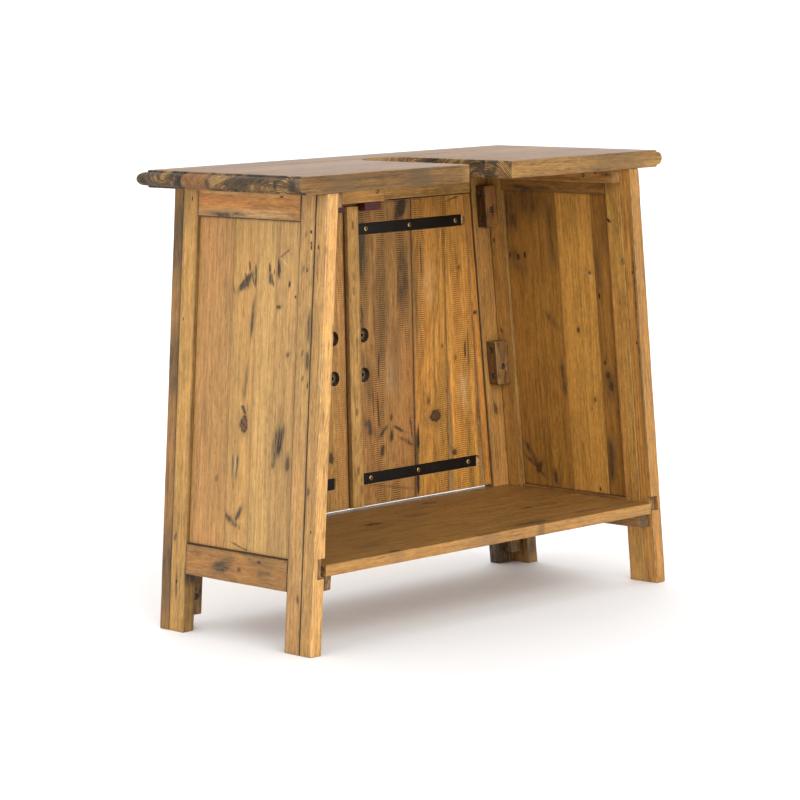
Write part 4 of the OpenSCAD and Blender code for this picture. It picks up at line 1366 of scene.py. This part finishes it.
def door_cuts(side):
    """Housings for the bars and pockets for the nuts of the pull, as closed cutters."""
    made = []
    r = (BAR_H + 1) / 2
    for low, length, _ in BARS:
        far = length + 8 - r
        arc = [math.radians(a) for a in range(-90, 91, 15)]
        outline = [(0, -r)] + [(far + r * math.cos(t), r * math.sin(t)) for t in arc] + [(0, r)]
        start = (door_edge(side) + side * (BAR_START - 1), DOOR_BACK - BAR_SINK, low + BAR_H / 2)
        turn = Matrix.Translation(Vector(start)) @ Matrix(
            ((side, 0, 0, 0), (0, 0, 1, 0), (0, 1, 0, 0), (0, 0, 0, 1)))
        made.append((*moved(prism(outline, 0, BAR_SINK + 3), turn), BARE_WOOD))
    pocket = lathe([(0, -BORE_D), (BORE_R, -BORE_D), (BORE_R, 4), (0, 4)], 40)
    return made + bores(side, pocket)


def bores(side, cutter):
    """A round cutter put at both bolts of a door's pull."""
    return [(*moved(cutter, aimed((PULL_X[side], DOOR_BACK, z), (0, 1, 0))), DARK_BORE) for z in PULL_Z]


def touches(cutter, low_x, high_x):
    """Whether a cutter reaches a plank that spans these X."""
    xs = [v.x / MM for v in cutter[0]]
    return min(xs) < high_x and max(xs) > low_x


def pull_shapes(x):
    """Two turned posts on round plates and a swelling grip between them."""
    post = [(0, -0.2), (9.0, -0.2), (9.0, 1.2), (8.3, 2.1), (6.0, 2.5), (4.6, 3.0), (3.6, 4.4),
            (3.1, 8.0), (3.3, 11.0), (4.2, 13.2), (4.4, 15.5), (3.6, 16.5), (0, 16.8)]
    low, steps = PULL_Z[0] - 16, 24
    span = PULL_Z[1] + 16 - low
    end = [(0, 0.0), (1.9, 0.35), (3.2, 1.4), (3.9, 3.0), (3.7, 4.8), (2.9, 6.0)]
    middle = [(2.9 + 1.05 * math.sin(math.pi * i / steps) ** 0.7, 7 + (span - 14) * i / steps)
              for i in range(1, steps)]
    grip = lathe(end + middle + [(r, span - h) for r, h in end[::-1]], 28)
    return [moved(lathe(post, 32), aimed((x, FRONT, z), (0, -1, 0))) for z in PULL_Z] + [
        moved(grip, Matrix.Translation(Vector((x, FRONT - 16.5, low))))]


for side, word in SIDES.items():
    body = f"door_{word}"
    outer = STILE_W[side] + GAP
    lines = [lambda z, x=x: x for x in (door_edge(side), *DOOR_JOINTS[side])]
    lines += [lambda z, inset=outer + o: lean_x(side, inset, z) for o in (EDGE_STRIP, 0)]
    cuts = door_cuts(side)
    seam = (0, 0.7, 0.35, 0.4, 0)
    for number, (first, second) in enumerate(zip(lines, lines[1:]), 1):
        before, after = (0.25 if number > 1 else 0), (0.25 if number < 4 else 0)
        edge = lambda which, z: second(z) - side * after if which else first(z) + side * before
        xs = [edge(w, z) for w in (0, 1) for z in (DOOR_LOW, DOOR_HIGH)]
        light, dark, red, redness, grey, saw = DOOR_TONES[side][number - 1]
        shape = upright_board(edge, (DOOR_LOW, DOOR_HIGH), (FRONT, DOOR_BACK))
        scattered = strewn(shape, 1, 2)
        measured = DOOR_MARKS.get((side, number))
        # tones: the meeting edge of the first plank and the outer edge of the last are darkened, painted
        # shade in the gaps
        board(f"{body}_plank_{number}", shape,
              look(light=light, dark=dark, red=red, redness=redness, grey=grey, saw=saw, grime=0.9,
                   pith=(12 * number - 30, -44 - 6 * number), ring=2.0 + 0.3 * number,
                   joints=(seam[number - 1], seam[number], 0, 0),
                   tones=(1 if number > 1 else 0.6, 1 if number < 4 else 0.45)),
              node=f"{body}_planks", body=body, radius=0.9,
              marks=placed(on_door, measured) if measured else scattered,
              cuts=[c for c in cuts if touches(c, min(xs), max(xs))])
    bars, places = [], []
    y = DOOR_BACK - BAR_SINK
    for low, length, screws in BARS:
        start = door_edge(side) + side * BAR_START
        ends = sorted((start, start + side * length))
        bars.append(plate_shape(ends, (y, y + BAR_T), (low, low + BAR_H), 0.6))
        places += [((start + side * s, y + BAR_T, low + BAR_H / 2), (0, 1, 0)) for s in screws]
    joined(f"{body}_bars", bars, BLACK_IRON, body)
    joined(f"{body}_bar_screws", screws_at(places, 3.5, -0.25), ZINC, body)
    x, low = CATCH_X[side], DOOR_HIGH - 10.5
    strike = plate_shape((x - 13, x + 13), (DOOR_BACK, DOOR_BACK + 1), (low, low + 9.5), 0.35)
    strike_screw = screws_at([((x, DOOR_BACK + 1, low + 4.75), (0, 1, 0))], 3.2, 0.35)
    joined(f"{body}_strike", [strike] + strike_screw, DULL_ZINC, body)
    joined(f"{body}_pull", pull_shapes(PULL_X[side]), BLACK_IRON, body)

shape = upright_board(lambda edge, z: door_edge(-1) - BATTEN_W * (1 - edge), (DOOR_LOW + 1, DOOR_HIGH - 4),
                      (DOOR_BACK, DOOR_BACK + BATTEN_T))
hollow = lathe([(0, -1), (BORE_R + 0.5, -1), (BORE_R + 0.5, 9), (0, 9)], 40)
BATTEN_NAILS = [(-6, 529), (-6, 456), (-5, 435), (-9, 362), (-6, 262), (-7, 176), (-13, 148)]
board("door_left_batten", shape,
      look(light=(204, 156, 86), dark=(168, 120, 60), grey=0.25, ring=2.2, grime=0.5),
      body="door_left", radius=1.0, cuts=bores(-1, hollow),
      marks=placed(on_door, [stain(x, z - 7, x, z + 7, 2, 0.5) for x, z in BATTEN_NAILS]))
nail_heads = [moved(NAIL_HEAD, aimed((x, DOOR_BACK + BATTEN_T, z), (0, 1, 0))) for x, z in BATTEN_NAILS]
joined("batten_nails", nail_heads, NAIL_IRON, "door_left", replaces=False)

# ---- CAD pieces that stay, with softened edges and real finishes ----
for word in SIDES.values():
    for part, material in (
            (f"hinge_frame_leaves_{word}", BLACK_IRON), (f"hinge_pins_{word}", BLACK_IRON),
            (f"door_{word}_hinge_leaves", BLACK_IRON), (f"door_{word}_pull_nuts", DULL_ZINC)):
        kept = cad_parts[part]
        kept.data.materials.clear()
        kept.data.materials.append(material)
        soften = kept.modifiers.new("soften", "BEVEL")
        soften.width, soften.segments = 0.3 * MM, 2
        soften.limit_method, soften.angle_limit = "ANGLE", math.radians(50)


def leaf_screws(side, toward):
    """Screws in one body's hinge leaves, to that side of the leaning hinge line."""
    lean = Matrix.Rotation(-side * TILT, 4, "Y")
    places = []
    for z in HINGE_Z:
        x = lean_x(side, STILE_W[side] + GAP / 2, z)
        for k in (-1, 1):
            at = Matrix.Translation(Vector((x, FRONT - HINGE_OUT, z))) @ lean @ Vector(
                (toward * LEAF_SCREW, HINGE_OUT - 2, k * 15))
            places.append((at, (0, -1, 0)))
    return screws_at(places, 3.2, -0.1)


for side, word in SIDES.items():
    joined(f"hinge_frame_screws_{word}", leaf_screws(side, side), BLACK_IRON, "carcass")
    joined(f"door_{word}_hinge_screws", leaf_screws(side, -side), BLACK_IRON, f"door_{word}")

# ---- camera, light, floor ----
# the camera stands behind the right rear corner, a little above the top; its axes in the frame
CAMERA_AT = Vector((3.1292, 3.2072, 0.8736))
RIGHT = Vector((-0.71622, 0.69760, -0.01963))
UP = Vector((-0.10418, -0.07907, 0.99141))
FORWARD = Vector((-0.69005, -0.71211, -0.12930))
camera = bpy.data.objects.new("camera", bpy.data.cameras.new("camera"))
bpy.context.scene.collection.objects.link(camera)
camera.matrix_world = Matrix.Translation(CAMERA_AT) @ Matrix((RIGHT, UP, -FORWARD)).transposed().to_4x4()
camera.data.lens, camera.data.sensor_width = 145.4, 36.0
bpy.context.scene.camera = camera


def soft_sun(name, from_where, strength, spread):
    """Even light from one side, as from a very large soft box; spread is in degrees."""
    lamp = bpy.data.lights.new(name, "SUN")
    lamp.energy, lamp.angle = strength, math.radians(spread)
    made = bpy.data.objects.new(name, lamp)
    made.rotation_euler = (-Vector(from_where)).to_track_quat("-Z", "Y").to_euler()
    bpy.context.scene.collection.objects.link(made)


soft_sun("key", (0.35, 1.0, 0.55), 1.9, 50)
soft_sun("side", (1.0, 0.1, 0.9), 0.45, 60)
soft_sun("front", (-0.6, -1.0, 0.8), 0.9, 60)

world = bpy.data.worlds.new("studio")
bpy.context.scene.world = world
world.use_nodes = True
world.node_tree.nodes["Background"].inputs["Color"].default_value = (1, 1, 1, 1)
world.node_tree.nodes["Background"].inputs["Strength"].default_value = 0.8
bpy.context.scene.view_settings.view_transform = "Standard"

FLOOR_REACH = 200.0  # m, past the horizon of every view
floor_material, net, shader = blank_material("pale_floor")
cloud = net.noise(net.node("TexCoord").outputs["Object"], (3, 3, 3), 3.0)
net.put(shader.inputs["Base Color"], net.mix(cloud, (0.95, 0.95, 0.95, 1), (0.98, 0.98, 0.98, 1)))
shader.inputs["Roughness"].default_value = 0.8
square = [(x * FLOOR_REACH, y * FLOOR_REACH, 0) for x, y in ((-1, -1), (1, -1), (1, 1), (-1, 1))]
floor = to_object("floor", square, [[0, 1, 2, 3]], floor_material, smooth=False)
